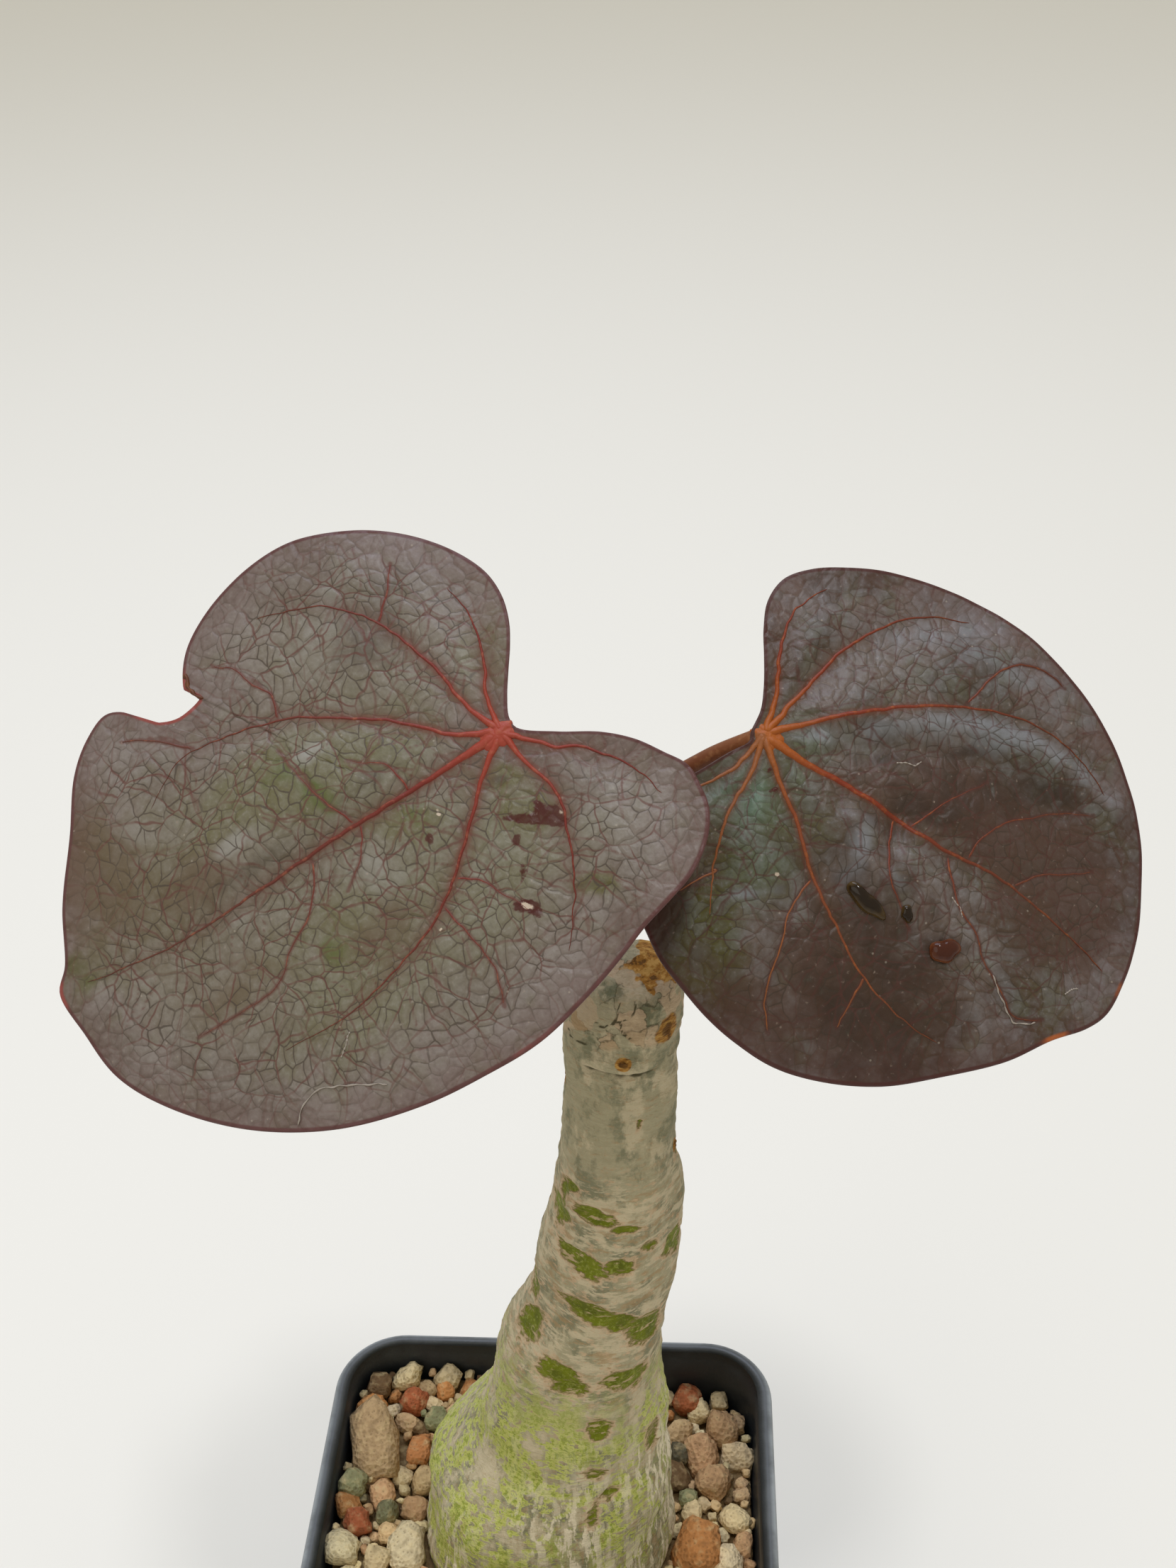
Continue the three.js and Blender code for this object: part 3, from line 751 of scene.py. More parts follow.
@dataclass
class Leaf:
    """A leaf: its blade, its ribs with the cushion they meet in, its scratches and its petiole.

    Attributes:
        side: "left" or "right", as in the CAD's node names.
        junction: where the ribs meet.
        azimuth: degrees from -Y to +X that the upper face looks towards.
        elevation: degrees that it looks up.
        turn: degrees from the level line to the midrib.
        bend, wave, crest, span, fold, fold_at: the CAD's own numbers for the blade's middle surface.
        centre: the middle of the blade, from which its mesh spreads.
        outline, ribs, twigs: lines as degrees and reach from the junction.
        scratches, shreds: pale scars, and dead shreds off a bitten edge, as lines in the blade's plane.
        petiole: its points from foot to junction, without the junction.
        marks: soft oval patches by tint, as their middle along and across the midrib, half length, half width,
            degrees from the midrib, and strength.
        folds: ridges and valleys, as a line, a height and a width.
        quilt: how far the blade puffs up between its ribs.
        skin, veins, stalk: the finishes of the blade, the ribs and the petiole.
        rib_root, rib_tip, rib_flare: the half width of the midrib at its root and tip, and what the cushion adds.
        thickness, edge: how thick the blade is in its middle and at its edge.
        columns, upper_rows, rim_rows, lower_rows: faces round the blade, and out over its top, round its edge and back.
        warmth: how orange the ribs below the midrib are.
        cushion: the radius of the swelling that the ribs meet in.
        waves_round: how many waves the blade's edge has.
    """

    side: str
    junction: tuple[float, float, float]
    azimuth: float
    elevation: float
    turn: float
    bend: float
    wave: float
    crest: float
    span: float
    fold: float
    fold_at: float
    outline: Line
    ribs: tuple[Line, ...]
    twigs: tuple[Line, ...]
    scratches: tuple[Line, ...]
    petiole: tuple[tuple[float, float, float], ...]
    marks: dict[Tint, tuple[tuple[float, ...], ...]]
    folds: tuple[tuple[Line, float, float], ...]
    quilt: float
    skin: LeafSkin
    veins: VeinSkin
    stalk: VeinSkin
    rib_root: float
    rib_tip: float
    rib_flare: float
    centre: tuple[float, float] = (12.0, 2.0)
    thickness: float = 0.62
    edge: float = 0.4
    columns: int = 460
    upper_rows: int = 92
    rim_rows: int = 6
    lower_rows: int = 50
    shreds: tuple[Line, ...] = ()
    warmth: float = 0.0
    cushion: float = 1.8
    waves_round: int = 6

    @cached_property
    def axes(self) -> Array:
        """The blade's own axes as rows: along the midrib, across it, and out of the upper face."""
        azimuth, elevation, turn = (math.radians(a) for a in (self.azimuth, self.elevation, self.turn))
        flat = math.cos(elevation)
        out = np.array([math.sin(azimuth) * flat, -math.cos(azimuth) * flat, math.sin(elevation)])
        level = np.array([-out[1], out[0], 0]) / math.hypot(out[0], out[1])
        along = math.cos(turn) * level + math.sin(turn) * np.cross(out, level)
        return np.stack([along, np.cross(out, along), out])

    def local(self, piece: bpy.types.Object) -> Array:
        """A piece's points along the blade's own axes, from the junction."""
        return (points_of(piece) - np.asarray(self.junction)) @ self.axes.T

    def grown(self, points: Sequence[Sequence[float]], steps: int, sway: float = 0.2, size: float = 1.9) -> Array:
        """Draws a line through points of the blade's plane, with the small kinks of a living vein."""
        path = smooth_path(points, steps)
        return path + sway * np.stack([lumps(path, size, 2, 1.0), lumps(path, size, 2, 5.0)], axis=1)

    @cached_property
    def rib_lines(self) -> list[Array]:
        """The main ribs as smooth lines in the blade's plane, each from the junction."""
        return [self.grown(np.vstack([[0, 0], from_polar(rib)]), 90) for rib in self.ribs]

    @cached_property
    def twig_lines(self) -> list[Array]:
        """The side veins as smooth lines in the blade's plane, each begun on the rib that it leaves."""
        ribs = np.vstack(self.rib_lines)
        lines = []
        for points in map(from_polar, self.twigs):
            gaps = np.linalg.norm(ribs - points[0], axis=1)
            if 0.3 < gaps.min() < 2.4:
                points = np.vstack([ribs[gaps.argmin()], points])
            lines.append(self.grown(points, 40))
        return lines

    def branchlets(self) -> list[Array]:
        """Fine veins that leave the ribs to both sides and fade into the net, drawn only in colour."""
        draw = random.Random(5)
        lines = []
        for line in self.rib_lines:
            others = np.vstack([other for other in self.rib_lines if other is not line])
            length = np.linalg.norm(np.diff(line, axis=0), axis=1).sum()
            for gone in np.arange(3.5, length - 3, 3.8):
                for side in (-1, 1):
                    k = int((gone + draw.uniform(-1, 1)) / length * (len(line) - 1))
                    along = (line[k + 2] - line[k - 2]) / np.linalg.norm(line[k + 2] - line[k - 2])
                    aside = side * np.array([-along[1], along[0]])
                    angle = math.radians(draw.uniform(50, 75))
                    reach = min(draw.uniform(4, 8), 0.7 * np.linalg.norm(others - line[k], axis=1).min())
                    bow, end = (
                        line[k] + share * reach * (math.cos(turn) * along + math.sin(turn) * aside)
                        for share, turn in ((0.5, angle + 0.3), (1.0, angle))
                    )
                    if reach > 1.5:
                        lines.append(self.grown([line[k], bow, end], 10))
        return lines

    def height(self, flat: Array) -> Array:
        """How far the blade's middle surface stands out of its plane.

        Args:
            flat: N points of the blade's plane.

        Returns:
            N heights in mm.
        """
        reach = np.linalg.norm(flat, axis=1)
        angle = np.arctan2(flat[:, 1], flat[:, 0]) - math.radians(self.crest)
        made = -self.bend * reach**2 + self.wave * (reach / self.span) ** 1.5 * np.cos(self.waves_round * angle)
        made -= self.fold * np.clip(-flat[:, 1] - self.fold_at, 0, None) ** 2
        for lines, width, share in ((self.rib_lines, 2.6, 1.0), (self.twig_lines, 1.4, 0.35)):
            made += share * self.quilt * (1 - bell(distance_to(flat, [line[::3] for line in lines]), width))
        made += 0.35 * self.quilt * lumps(flat, 7.0, 2, 3.3)
        for line, high, width in self.folds:
            made += high * bell(distance_to(flat, [smooth_path(line, 24)]), width)
        return made

    def on_blade(self, flat: Array, lift: Array | float) -> Array:
        """Points in mm that stand over points of the blade's plane, so far above its middle surface."""
        return np.asarray(self.junction) + np.column_stack([flat, self.height(flat) + lift]) @ self.axes

    @cached_property
    def edge_line(self) -> Array:
        """The blade's outline as a closed line, turning one way as seen from its middle."""
        line = smooth_path(from_polar(self.outline), self.columns + 1, closed=True) - np.asarray(self.centre)
        angle = np.unwrap(np.arctan2(line[:, 1], line[:, 0]))
        turning = math.copysign(1, angle[-1] - angle[0])
        angle = turning * np.maximum.accumulate(turning * angle + np.linspace(0, 1e-3, len(angle)))
        reach = np.linalg.norm(line, axis=1) - 0.25
        line = np.stack([reach * np.cos(angle), reach * np.sin(angle)], axis=1)
        line[-1] = line[0]
        return line + np.asarray(self.centre)

    def build_blade(self) -> bpy.types.Object:
        """Builds the blade as one closed skin: out over the upper face, round the edge, and back below."""
        rows = self.upper_rows + self.rim_rows + self.lower_rows
        first, second = self.upper_rows / rows, (self.upper_rows + self.rim_rows) / rows
        centre = np.asarray(self.centre)

        def place(around: Array, share: Array) -> Array:
            """Puts a point of the grid on the blade's skin."""
            edge = sample(self.edge_line, around) - centre
            out = np.where(share < first, share / first, np.where(share > second, (1 - share) / (1 - second), 1))
            out = 1 - (1 - out) ** 1.35
            half = (self.thickness + (self.edge - self.thickness) * out**4) / 2
            bend = ramp(share, first, second) * np.pi
            bulge = np.sin(bend) * self.edge / 2
            flat = centre + edge * (out + bulge / np.linalg.norm(edge, axis=1))[:, None]
            return self.on_blade(flat, half * np.cos(bend))

        bm = bmesh.new()
        shaped_grid(bm, self.columns, rows, place, merge=2e-4)
        return hand_over(bm, f"leaf_{self.side}", self.skin, f"leaf_{self.side}", f"leaf_blade_{self.side}")

    def dress_blade(self, blade: bpy.types.Object) -> None:
        """Writes what the skin reads: places in the leaf, distances to its lines, and the painted marks."""
        local = self.local(blade)
        flat = local[:, :2]
        write_attribute(blade, "leaf_mm", np.column_stack([flat, np.sign(local[:, 2] - self.height(flat))]))
        fading = [np.column_stack([line, 2.0 * np.linspace(0, 1, len(line)) ** 2]) for line in self.rib_lines]
        write_attribute(blade, "rib_mm", distance_to(np.column_stack([flat, np.zeros(len(flat))]), fading))
        twigs = np.minimum(distance_to(flat, self.twig_lines), 0.12 + distance_to(flat, self.branchlets()))
        write_attribute(blade, "twig_mm", twigs)
        write_attribute(blade, "rim_mm", distance_to(flat, [self.edge_line]))
        for tint in Tint:
            value = np.zeros(len(flat))
            for along, across, long, wide, degrees, strength in self.marks.get(tint, ()):
                sine, cosine = math.sin(math.radians(degrees)), math.cos(math.radians(degrees))
                x, y = (flat - np.array([along, across])).T
                value += strength * bell(x * cosine + y * sine, long) * bell(y * cosine - x * sine, wide)
            write_attribute(blade, tint.value, np.clip(value, 0, 1))

    def build_veins(self) -> bpy.types.Object:
        """Builds the ribs and side veins, half sunk in the blade, and the cushion that the ribs meet in."""
        out, middle = self.axes[2], self.thickness / 2
        bm = bmesh.new()
        for line, wide in zip(self.rib_lines, [1.0] + [0.76] * len(self.ribs)):

            def half(s: Array, wide: float = wide) -> tuple[Array, Array]:
                """The rib's half width and height, flared at the cushion."""
                width = self.rib_tip + (self.rib_root - self.rib_tip) * (1 - s**1.5)
                width += self.rib_flare * np.exp(-s / 0.06)
                return wide * width, middle + 0.04 + 0.16 * wide * (1 - s) + 0.3 * np.exp(-s / 0.05)

            tube(bm, self.on_blade(line, 0.0), out, half, sides=12, rings=110)
        for line in self.twig_lines:
            path = self.on_blade(line, 0.0)
            tube(bm, path, out, lambda s: (0.24 - 0.15 * s, middle + 0.07 - 0.06 * s), sides=8, rings=60)
        boss = np.asarray(self.junction) + 0.6 * self.axes[0]

        def swelling(around: Array, share: Array) -> Array:
            """Puts a point of the grid on the lumpy cushion."""
            turn, up, unit = ball(around, share)
            unit = unit * np.array([1.2, 0.9, 0.42])
            grown = self.cushion * (1 + 0.2 * lumps(unit, 0.7, 3, 4.0) + 0.06 * np.cos(7 * turn + 1) * np.cos(up))
            return boss + (unit * grown[:, None]) @ self.axes

        shaped_grid(bm, columns=60, rows=30, place=swelling)
        piece = hand_over(bm, f"veins_{self.side}", self.veins, f"leaf_{self.side}", f"leaf_blade_{self.side}")
        local = self.local(piece)
        write_attribute(piece, "reach", np.clip(np.linalg.norm(local, axis=1) / self.span, 0, 1))
        below = np.degrees(-np.arctan2(local[:, 1], local[:, 0]))
        write_attribute(piece, "warm", self.warmth * ramp(below, 20, 50) * (below < 150))
        return piece

    def build_threads(
        self, kind: str, paths: list[Array], half: Callable[[Array], tuple[Array, Array]], skin: VeinSkin, sides: int,
        rings: int,
    ) -> bpy.types.Object:
        """Builds thin threads on the blade.

        Args:
            kind: the piece's name without the side.
            paths: their middle lines.
            half: takes shares of a thread's length, and gives its half width and half height.
            skin: their finish.
            sides: faces around each.
            rings: faces along each.

        Returns:
            The threads as one piece.
        """
        bm = bmesh.new()
        for path in paths:
            tube(bm, path, self.axes[2], half, sides, rings)
        piece = hand_over(bm, f"{kind}_{self.side}", skin, f"leaf_{self.side}")
        write_attribute(piece, "reach", np.full(len(piece.data.vertices), 0.3))
        return piece

    @staticmethod
    def ragged(share: Array) -> tuple[Array, Array]:
        """Half width and height of a dead shred, which tapers unevenly."""
        return 0.3 * (1 - 0.5 * share) * (1 + 0.35 * np.sin(23 * share)), 0.3 + 0.06 * np.sin(11 * share)

    @staticmethod
    def corky(share: Array) -> tuple[Array, Array]:
        """Half width and height of a healed scratch, which swells here and there."""
        return 0.08 + 0.035 * np.sin(40 * share), 0.06 + 0.04 * np.sin(23 * share)

    def build_petiole(self) -> bpy.types.Object:
        """Builds the petiole from its foot in the stem to the cushion, thicker at the foot, faintly ridged."""

        def half(share: Array) -> tuple[Array, Array]:
            """Half width and height: as the CAD's, a little fuller where it meets the cushion."""
            radius = np.where(share < 0.3, 1.5 - 0.55 * share / 0.3, 0.95 + 0.15 * (share - 0.3) / 0.7)
            ring = 1 + 0.03 * np.sin(70 * share) * np.exp(-share / 0.2)
            return radius * ring, radius * ring

        bm = bmesh.new()
        tube(bm, smooth_path([*self.petiole, self.junction], 90), (0, -1, 0), half, sides=24, rings=130)
        piece = hand_over(bm, f"stalk_{self.side}", self.stalk, "petiole", f"petiole_{self.side}")
        foot = np.linalg.norm(points_of(piece) - np.asarray(self.petiole[0]), axis=1)
        write_attribute(piece, "reach", 1 - np.clip(foot / foot.max(), 0, 1))
        return piece

    def build(self) -> list[bpy.types.Object]:
        """Builds and dresses the blade, the shreds at its bite, the veins, the healed scratches and the petiole.

        Returns:
            The leaf's pieces.
        """
        made = [self.build_blade()]
        self.dress_blade(made[0])
        if self.shreds:
            curl = 0.25 * np.sin(np.linspace(0, 2.6, 30))
            paths = [self.on_blade(smooth_path(line, 30), curl) for line in self.shreds]
            made.append(self.build_threads("shreds", paths, self.ragged, DRY, sides=10, rings=36))
        made.append(self.build_veins())
        paths = [self.on_blade(self.grown(line, 40, 0.22, 1.3), self.thickness / 2) for line in self.scratches]
        made.append(self.build_threads("scars", paths, self.corky, HEALED, sides=6, rings=60))
        return [*made, self.build_petiole()]


@dataclass
class Drops:
    """Water drops that stand on a blade.

    Attributes:
        leaf: the leaf they stand on.
        drops: for each its name, middle, half length, half width, height, turn in degrees and finish.
    """

    leaf: Leaf
    drops: tuple[tuple[str, tuple[float, float], float, float, float, float, Water], ...]

    def build(self) -> list[bpy.types.Object]:
        """Builds each drop as a low dome whose underside follows the blade.

        Returns:
            The drops.
        """
        made = []
        for name, at, long, wide, high, turn, water in self.drops:
            bm = bmesh.new()
            bmesh.ops.create_uvsphere(bm, u_segments=36, v_segments=20, radius=1.0)
            unit = np.array([v.co[:] for v in bm.verts])
            cosine, sine = math.cos(math.radians(turn)), math.sin(math.radians(turn))
            around = np.arctan2(unit[:, 1], unit[:, 0])
            uneven = 1 + 0.09 * np.sin(2 * around + 1) + 0.07 * np.sin(3 * around) + 0.05 * np.sin(5 * around + 2)
            side = unit[:, :2] * np.array([long, wide]) * uneven[:, None]
            flat = np.asarray(at) + side @ np.array([[cosine, sine], [-sine, cosine]])
            lift = np.where(unit[:, 2] > 0, np.abs(unit[:, 2]) ** 0.8 * high, 0.1 * unit[:, 2])
            for vert, point in zip(bm.verts, self.leaf.on_blade(flat, self.leaf.thickness / 2 + 0.02 + lift)):
                vert.co = point
            drop = hand_over(bm, name, water, f"leaf_{self.leaf.side}")
            write_attribute(drop, "crown", np.clip(unit[:, 2], 0, 1))
            made.append(drop)
        return made


# Stem


@dataclass
class Stem:
    """The swollen, peeling stem.

    Attributes:
        profile: rows of height, middle X and diameter, as in the CAD.
        scars: leaf scars as height, degrees from +X and radius.
        windows: torn openings as height, degrees from the front, half height, half width in mm and strength.
        cracks: open cracks near the tip as lines of degrees from the front and height.
        bud_at, bud_radius, bud_flat: the bud's middle as X and height, its radius, and its height over its width.
        y, lean_y, soil_top: the Y of its middle at the soil, how that leans with height, and the soil's height.
        wrinkled: the heights where the wrinkles of the foot end and where they are full.
        ring_at, ring_depth, window_depth: the height of the ring below the tip, its depth, and that of a window.
    """

    profile: tuple[tuple[float, float, float], ...]
    scars: tuple[tuple[float, float, float], ...]
    windows: tuple[tuple[float, float, float, float, float], ...]
    cracks: tuple[Line, ...]
    bud_at: tuple[float, float] = (15.9, 189.7)
    bud_radius: float = 2.45
    bud_flat: float = 0.72
    wrinkled: tuple[float, float] = (116, 96)
    ring_at: float = 177.9
    ring_depth: float = 0.4
    window_depth: float = 0.35
    y: float = 6.0
    lean_y: float = -0.02
    soil_top: float = 67.0
    columns: int = 170
    rows: int = 430

    def axis(self, height: Array) -> Array:
        """The stem's middle at each height, as points of X and Y."""
        rows = np.asarray(self.profile)
        return np.stack([np.interp(height, rows[:, 0], rows[:, 1]), self.middle_y(height)], axis=1)

    def middle_y(self, height: Array | float) -> Array | float:
        """The Y of the stem's middle, which leans."""
        return self.y + self.lean_y * (height - self.soil_top)

    def windows_at(self, front: Array, height: Array, radius: Array) -> Array:
        """How open the bark is at each place, from 0 to 1, ragged and drawn out sideways."""
        ragged = lumps(np.column_stack([np.sin(front) * radius, np.cos(front) * radius, height * 1.8]), 6.0, 4, 2.0)
        value = np.zeros(len(height))
        for z, degrees, half_high, half_wide, strength in self.windows:
            aside = wrapped(front - math.radians(degrees)) * radius
            tilt = height - z + 0.12 * aside
            value = np.maximum(value, strength * bell(tilt, half_high) * bell(aside, half_wide))
        return np.clip(value + 0.3 * ragged * (value > 0.05), 0, 1)

    def ring(self, front: Array, height: Array, at: float, width: float) -> Array:
        """How deep the ring that half circles the stem in front is, for a height and a width of it."""
        return bell(height - at + 0.5 * np.cos(front), width) * np.clip(4 * np.cos(front) - 2.6, 0, 1)

    def build(self) -> bpy.types.Object:
        """Builds the stem with its lumps, scars, recessed windows and wrinkled foot, and paints its bark.

        Returns:
            The stem.
        """
        rows = smooth_path([(44.0, 0.8, 0.0), *self.profile, (191.4, 16.1, 0.0)], self.rows + 1)

        def place(around: Array, share: Array) -> Array:
            """Puts a point of the grid on the bark."""
            height, middle_x, width = sample(rows, share).T
            angle = 2 * np.pi * around
            radius = width / 2 * (
                1
                + 0.022 * np.sin(3 * angle + height / 11)
                + 0.016 * np.sin(5 * angle - height / 6 + 1)
                + 0.014 * np.sin(height / 2.6 + 2 * np.sin(angle))
            )
            skin = np.column_stack([np.cos(angle) * radius, np.sin(angle) * radius, height])
            front = wrapped(angle + np.pi / 2)
            solid = np.clip(width / 8, 0, 1)
            radius = radius + solid * (
                0.22 * lumps(skin * np.array([1, 1, 2.6]), 6.5, 4, 7.0)
                - self.window_depth * ramp(self.windows_at(front, height, radius), 0.3, 0.6)
                + 0.3 * lumps(skin * np.array([1, 1, 0.3]), 2.4, 3, 4.0) * ramp(height, *self.wrinkled)
                + 0.16 * lumps(skin * np.array([1, 1, 0.8]), 2.0, 3, 8.0)
                - self.ring_depth * self.ring(front, height, self.ring_at, 0.4)
            )
            return np.column_stack([
                middle_x + radius * np.cos(angle),
                self.middle_y(height) + radius * np.sin(angle),
                height + 0.25 * solid * lumps(skin, 3.0, 3, 9.0) * ramp(height, 183, 188),
            ])

        bm = bmesh.new()
        shaped_grid(bm, self.columns, self.rows, place)
        for z, degrees, radius in self.scars:
            self.knob(bm, z, math.radians(degrees), radius)
        self.bud(bm)
        stem = hand_over(bm, "stem_bark", Bark(), "bark", "stem")
        self.dress(stem)
        return stem

    def knob(self, bm: bmesh.types.BMesh, height: float, angle: float, radius: float) -> None:
        """Adds the corky rim of a fallen leaf's scar, with a dent in its middle."""
        rows = np.asarray(self.profile)
        reach = np.interp(height, rows[:, 0], rows[:, 2]) / 2 - 0.66 * radius
        out, side = (np.array([math.cos(a), math.sin(a), 0]) for a in (angle, angle + math.pi / 2))
        middle = np.append(self.axis(np.array([height]))[0] + reach * out[:2], height)

        def place(around: Array, share: Array) -> Array:
            """Puts a point of the grid on the scar."""
            turn, up, unit = ball(around, share)
            dent = 1 - 0.5 * bell(np.cos(up), 0.45) * (up > 0)
            grown = radius * (1 + 0.12 * np.sin(4 * turn) * np.cos(up)) * 0.97
            unit = unit * np.column_stack([grown, 0.8 * grown, grown * dent])
            return middle + unit @ np.stack([side, [0, 0, 1], out])

        shaped_grid(bm, columns=28, rows=18, place=place)

    def bud(self, bm: bmesh.types.BMesh) -> None:
        """Adds the scaly bud at the tip."""
        x, z = self.bud_at

        def place(around: Array, share: Array) -> Array:
            """Puts a point of the grid on the bud."""
            turn, up, unit = ball(around, share)
            scales = 1 + 0.1 * np.sin(5 * turn + 4 * up) * np.cos(up)
            unit = self.bud_radius * unit * np.array([1, 1, self.bud_flat])
            return np.array([x, self.middle_y(z), z]) + unit * scales[:, None]

        shaped_grid(bm, columns=40, rows=24, place=place)

    def dress(self, stem: bpy.types.Object) -> None:
        """Writes where the bark is open, corky, green, fibrous, banded, plated and cracked, and the painted shade in
        the ring's groove.
        """
        points = points_of(stem)
        height = points[:, 2]
        offset = points[:, :2] - self.axis(height)
        radius = np.linalg.norm(offset, axis=1)
        front = np.arctan2(offset[:, 0], -offset[:, 1])
        ragged = lumps(points, 3.0, 3, 6.0)
        cork = np.clip((height - 190.2 + 2.2 * ragged + 1.6 * np.sin(front)) / 1.2, 0, 0.8)
        for z, degrees, size in self.scars:
            aside = wrapped(front - math.radians(degrees + 90)) * radius
            away = np.hypot(aside, height - z) / (1.1 * size) * (1 + 0.35 * ragged)
            cork = np.maximum(cork, 1.05 * np.exp(-(away**3)))
        patchy = lumps(points * np.array([1, 1, 0.45]), 9.0, 4, 11.0)
        lean = front * ramp(np.abs(front), np.pi, np.pi - 1.1)
        ratio = np.array([0.128, 1.0])
        spread = np.column_stack([np.degrees(front), height]) * ratio
        spread += 0.45 * np.column_stack([lumps(points, 1.6, 2, 3.0), lumps(points, 1.6, 2, 8.0)])
        crack = 0.75 * bell(distance_to(spread, [smooth_path(line, 16) * ratio for line in self.cracks]), 0.2)
        for name, values in {
            "window": self.windows_at(front, height, radius),
            "cork": np.clip(cork, 0, 1),
            "foot": ramp(height, 122, 108) * np.clip(1.0 - 0.45 * lean + 1.3 * patchy, 0, 1),
            "fibre": ramp(height, 112, 98) * np.clip(0.55 + 0.5 * lean - 0.9 * patchy + ramp(height, 84, 72), 0.15, 1),
            "band": np.clip((163 - height) / 8, 0.12, 1) * ramp(height, 108, 118),
            "plate": ramp(height + 1.6 * ragged, 181.2, 182.4),
            # The ring's groove is darkened with the cracks' colour: painted shade
            "crack": np.maximum(crack, 0.7 * self.ring(front, height, 177.8, 0.42) * (0.85 + ragged)),
        }.items():
            write_attribute(stem, name, values)


# Pot and substrate


@dataclass
class Pot:
    """The square nursery pot with its rim band, drawn as one moulded shell."""

    height: float = 75.0
    rim_half: float = 37.5
    rim_corner: float = 11.4
    rim_width: float = 2.6
    band_depth: float = 8.0
    band_step: float = 1.3
    base_half: float = 26.5
    base_corner: float = 7.5
    wall: float = 1.3
    floor: float = 1.8
    cove: float = 0.8
    edge_round: float = 0.8
    drain_radius: float = 3.6
    drain_offset: float = 15.0
    corner_steps: int = 14

    def wall_at(self, z: float) -> tuple[float, float]:
        """Half width and corner radius of the outer wall at a height."""
        share = min(1.0, z / (self.height - self.band_depth))
        top_half, top_corner = self.rim_half - self.band_step, self.rim_corner - self.band_step
        return (
            self.base_half + share * (top_half - self.base_half),
            self.base_corner + share * (top_corner - self.base_corner),
        )

    def sections(self) -> list[tuple[float, float, float]]:
        """Rows of half width, corner radius and height, from the underside out, over the rim and down inside."""
        top, band_foot, cavity_floor = self.height, self.height - self.band_depth, self.floor + self.cove
        foot, neck, cavity = (self.wall_at(z) for z in (0, band_foot, cavity_floor))
        rim, inner = (self.rim_half, self.rim_corner), self.rim_width
        rows = [
            (foot, s * self.edge_round, (1 - c) * self.edge_round)
            for s, c in ((1.0, 1.0), (0.62, 0.92), (0.29, 0.71), (0.08, 0.38), (0.0, 0.0))
        ]
        rows += [(neck, 0.0, band_foot - 0.4), (rim, 0.5, band_foot), (rim, 0.16, band_foot + 0.2)]
        rows += [(rim, 0.04, band_foot + 0.6), (rim, 0.0, top - 1.4)]
        rows += [(rim, 1.0 - math.cos(a), top - 1.0 + math.sin(a)) for a in np.radians([0, 18, 36, 54, 72, 90])]
        rows += [
            (rim, inner - 0.9 * math.cos(a), top - 1.0 + 0.95 * math.sin(a)) for a in np.radians([80, 60, 40, 20, 0])
        ]
        rows += [(rim, inner, top - 2.2), (neck, self.wall, band_foot), (cavity, self.wall, cavity_floor)]
        rows += [(foot, self.wall + self.cove, self.floor)]
        return [(half - inset, corner - inset, z) for (half, corner), inset, z in rows]

    def shape(self, verts: list[bmesh.types.BMVert], half: float, corner: float, z: float) -> None:
        """Moves a ring of points onto one rounded square.

        Args:
            verts: the ring's points.
            half: half the square's width.
            corner: its corner radius.
            z: its height.
        """
        verts.sort(key=lambda v: math.atan2(v.co.y, v.co.x) % (2 * math.pi))
        quarters, shares = range(4), range(self.corner_steps + 1)
        steps = [(quarter * math.pi / 2, k / self.corner_steps) for quarter in quarters for k in shares]
        for vert, (start, share) in zip(verts, steps):
            middle = Matrix.Rotation(start, 2) @ Vector((half - corner, half - corner))
            angle = start + share * math.pi / 2
            vert.co = (middle.x + corner * math.cos(angle), middle.y + corner * math.sin(angle), z)

    def build(self) -> bpy.types.Object:
        """Extrudes the shell loop by loop from its underside, closes its two floors and opens the drain holes.

        Returns:
            The pot.
        """
        first, *others = self.sections()
        bm = bmesh.new()
        self.shape(bmesh.ops.create_circle(bm, segments=4 * (self.corner_steps + 1), radius=1.0)["verts"], *first)
        edges = start = list(bm.edges)
        for row in others:
            made = bmesh.ops.extrude_edge_only(bm, edges=edges)["geom"]
            self.shape([g for g in made if isinstance(g, bmesh.types.BMVert)], *row)
            edges = [g for g in made if isinstance(g, bmesh.types.BMEdge)]
        for rim in (start, edges):
            bmesh.ops.holes_fill(bm, edges=rim, sides=0)
        pot = hand_over(bm, "pot_shell", PotPlastic(), "pot_plastic", "pot")
        self.drain(pot)
        for face in pot.data.polygons:
            face.use_smooth = len(face.vertices) == 4
        # Where the painted highlight goes: along the rim's rounded outer edge
        points = points_of(pot)
        past = np.clip(np.abs(points[:, :2]) - (self.rim_half - self.rim_corner), 0, None)
        inside = self.rim_corner - np.linalg.norm(past, axis=1)
        edge = bell(inside - 0.3, 0.6) * ramp(points[:, 2], self.height - 1.6, self.height - 0.8)
        write_attribute(pot, "edge", edge)
        return pot

    def drain(self, pot: bpy.types.Object) -> None:
        """Cuts the four drain holes through the floor."""
        bm = bmesh.new()
        for sx, sy in ((1, 1), (-1, 1), (-1, -1), (1, -1)):
            spot = Matrix.Translation((sx * self.drain_offset * MM, sy * self.drain_offset * MM, self.floor * MM / 2))
            radius, depth = self.drain_radius * MM, self.floor * MM * 3
            bmesh.ops.create_cone(
                bm, cap_ends=True, segments=36, radius1=radius, radius2=radius, depth=depth, matrix=spot
            )
        cutter = put_in_scene(bm, "drain_cutter")
        cut = pot.modifiers.new("drains", "BOOLEAN")
        cut.object, cut.operation, cut.solver = cutter, "DIFFERENCE", "EXACT"
        bpy.context.view_layer.update()
        opened = bpy.data.meshes.new_from_object(pot.evaluated_get(bpy.context.evaluated_depsgraph_get()))
        pot.modifiers.clear()
        pot.data = opened
        bpy.data.objects.remove(cutter)


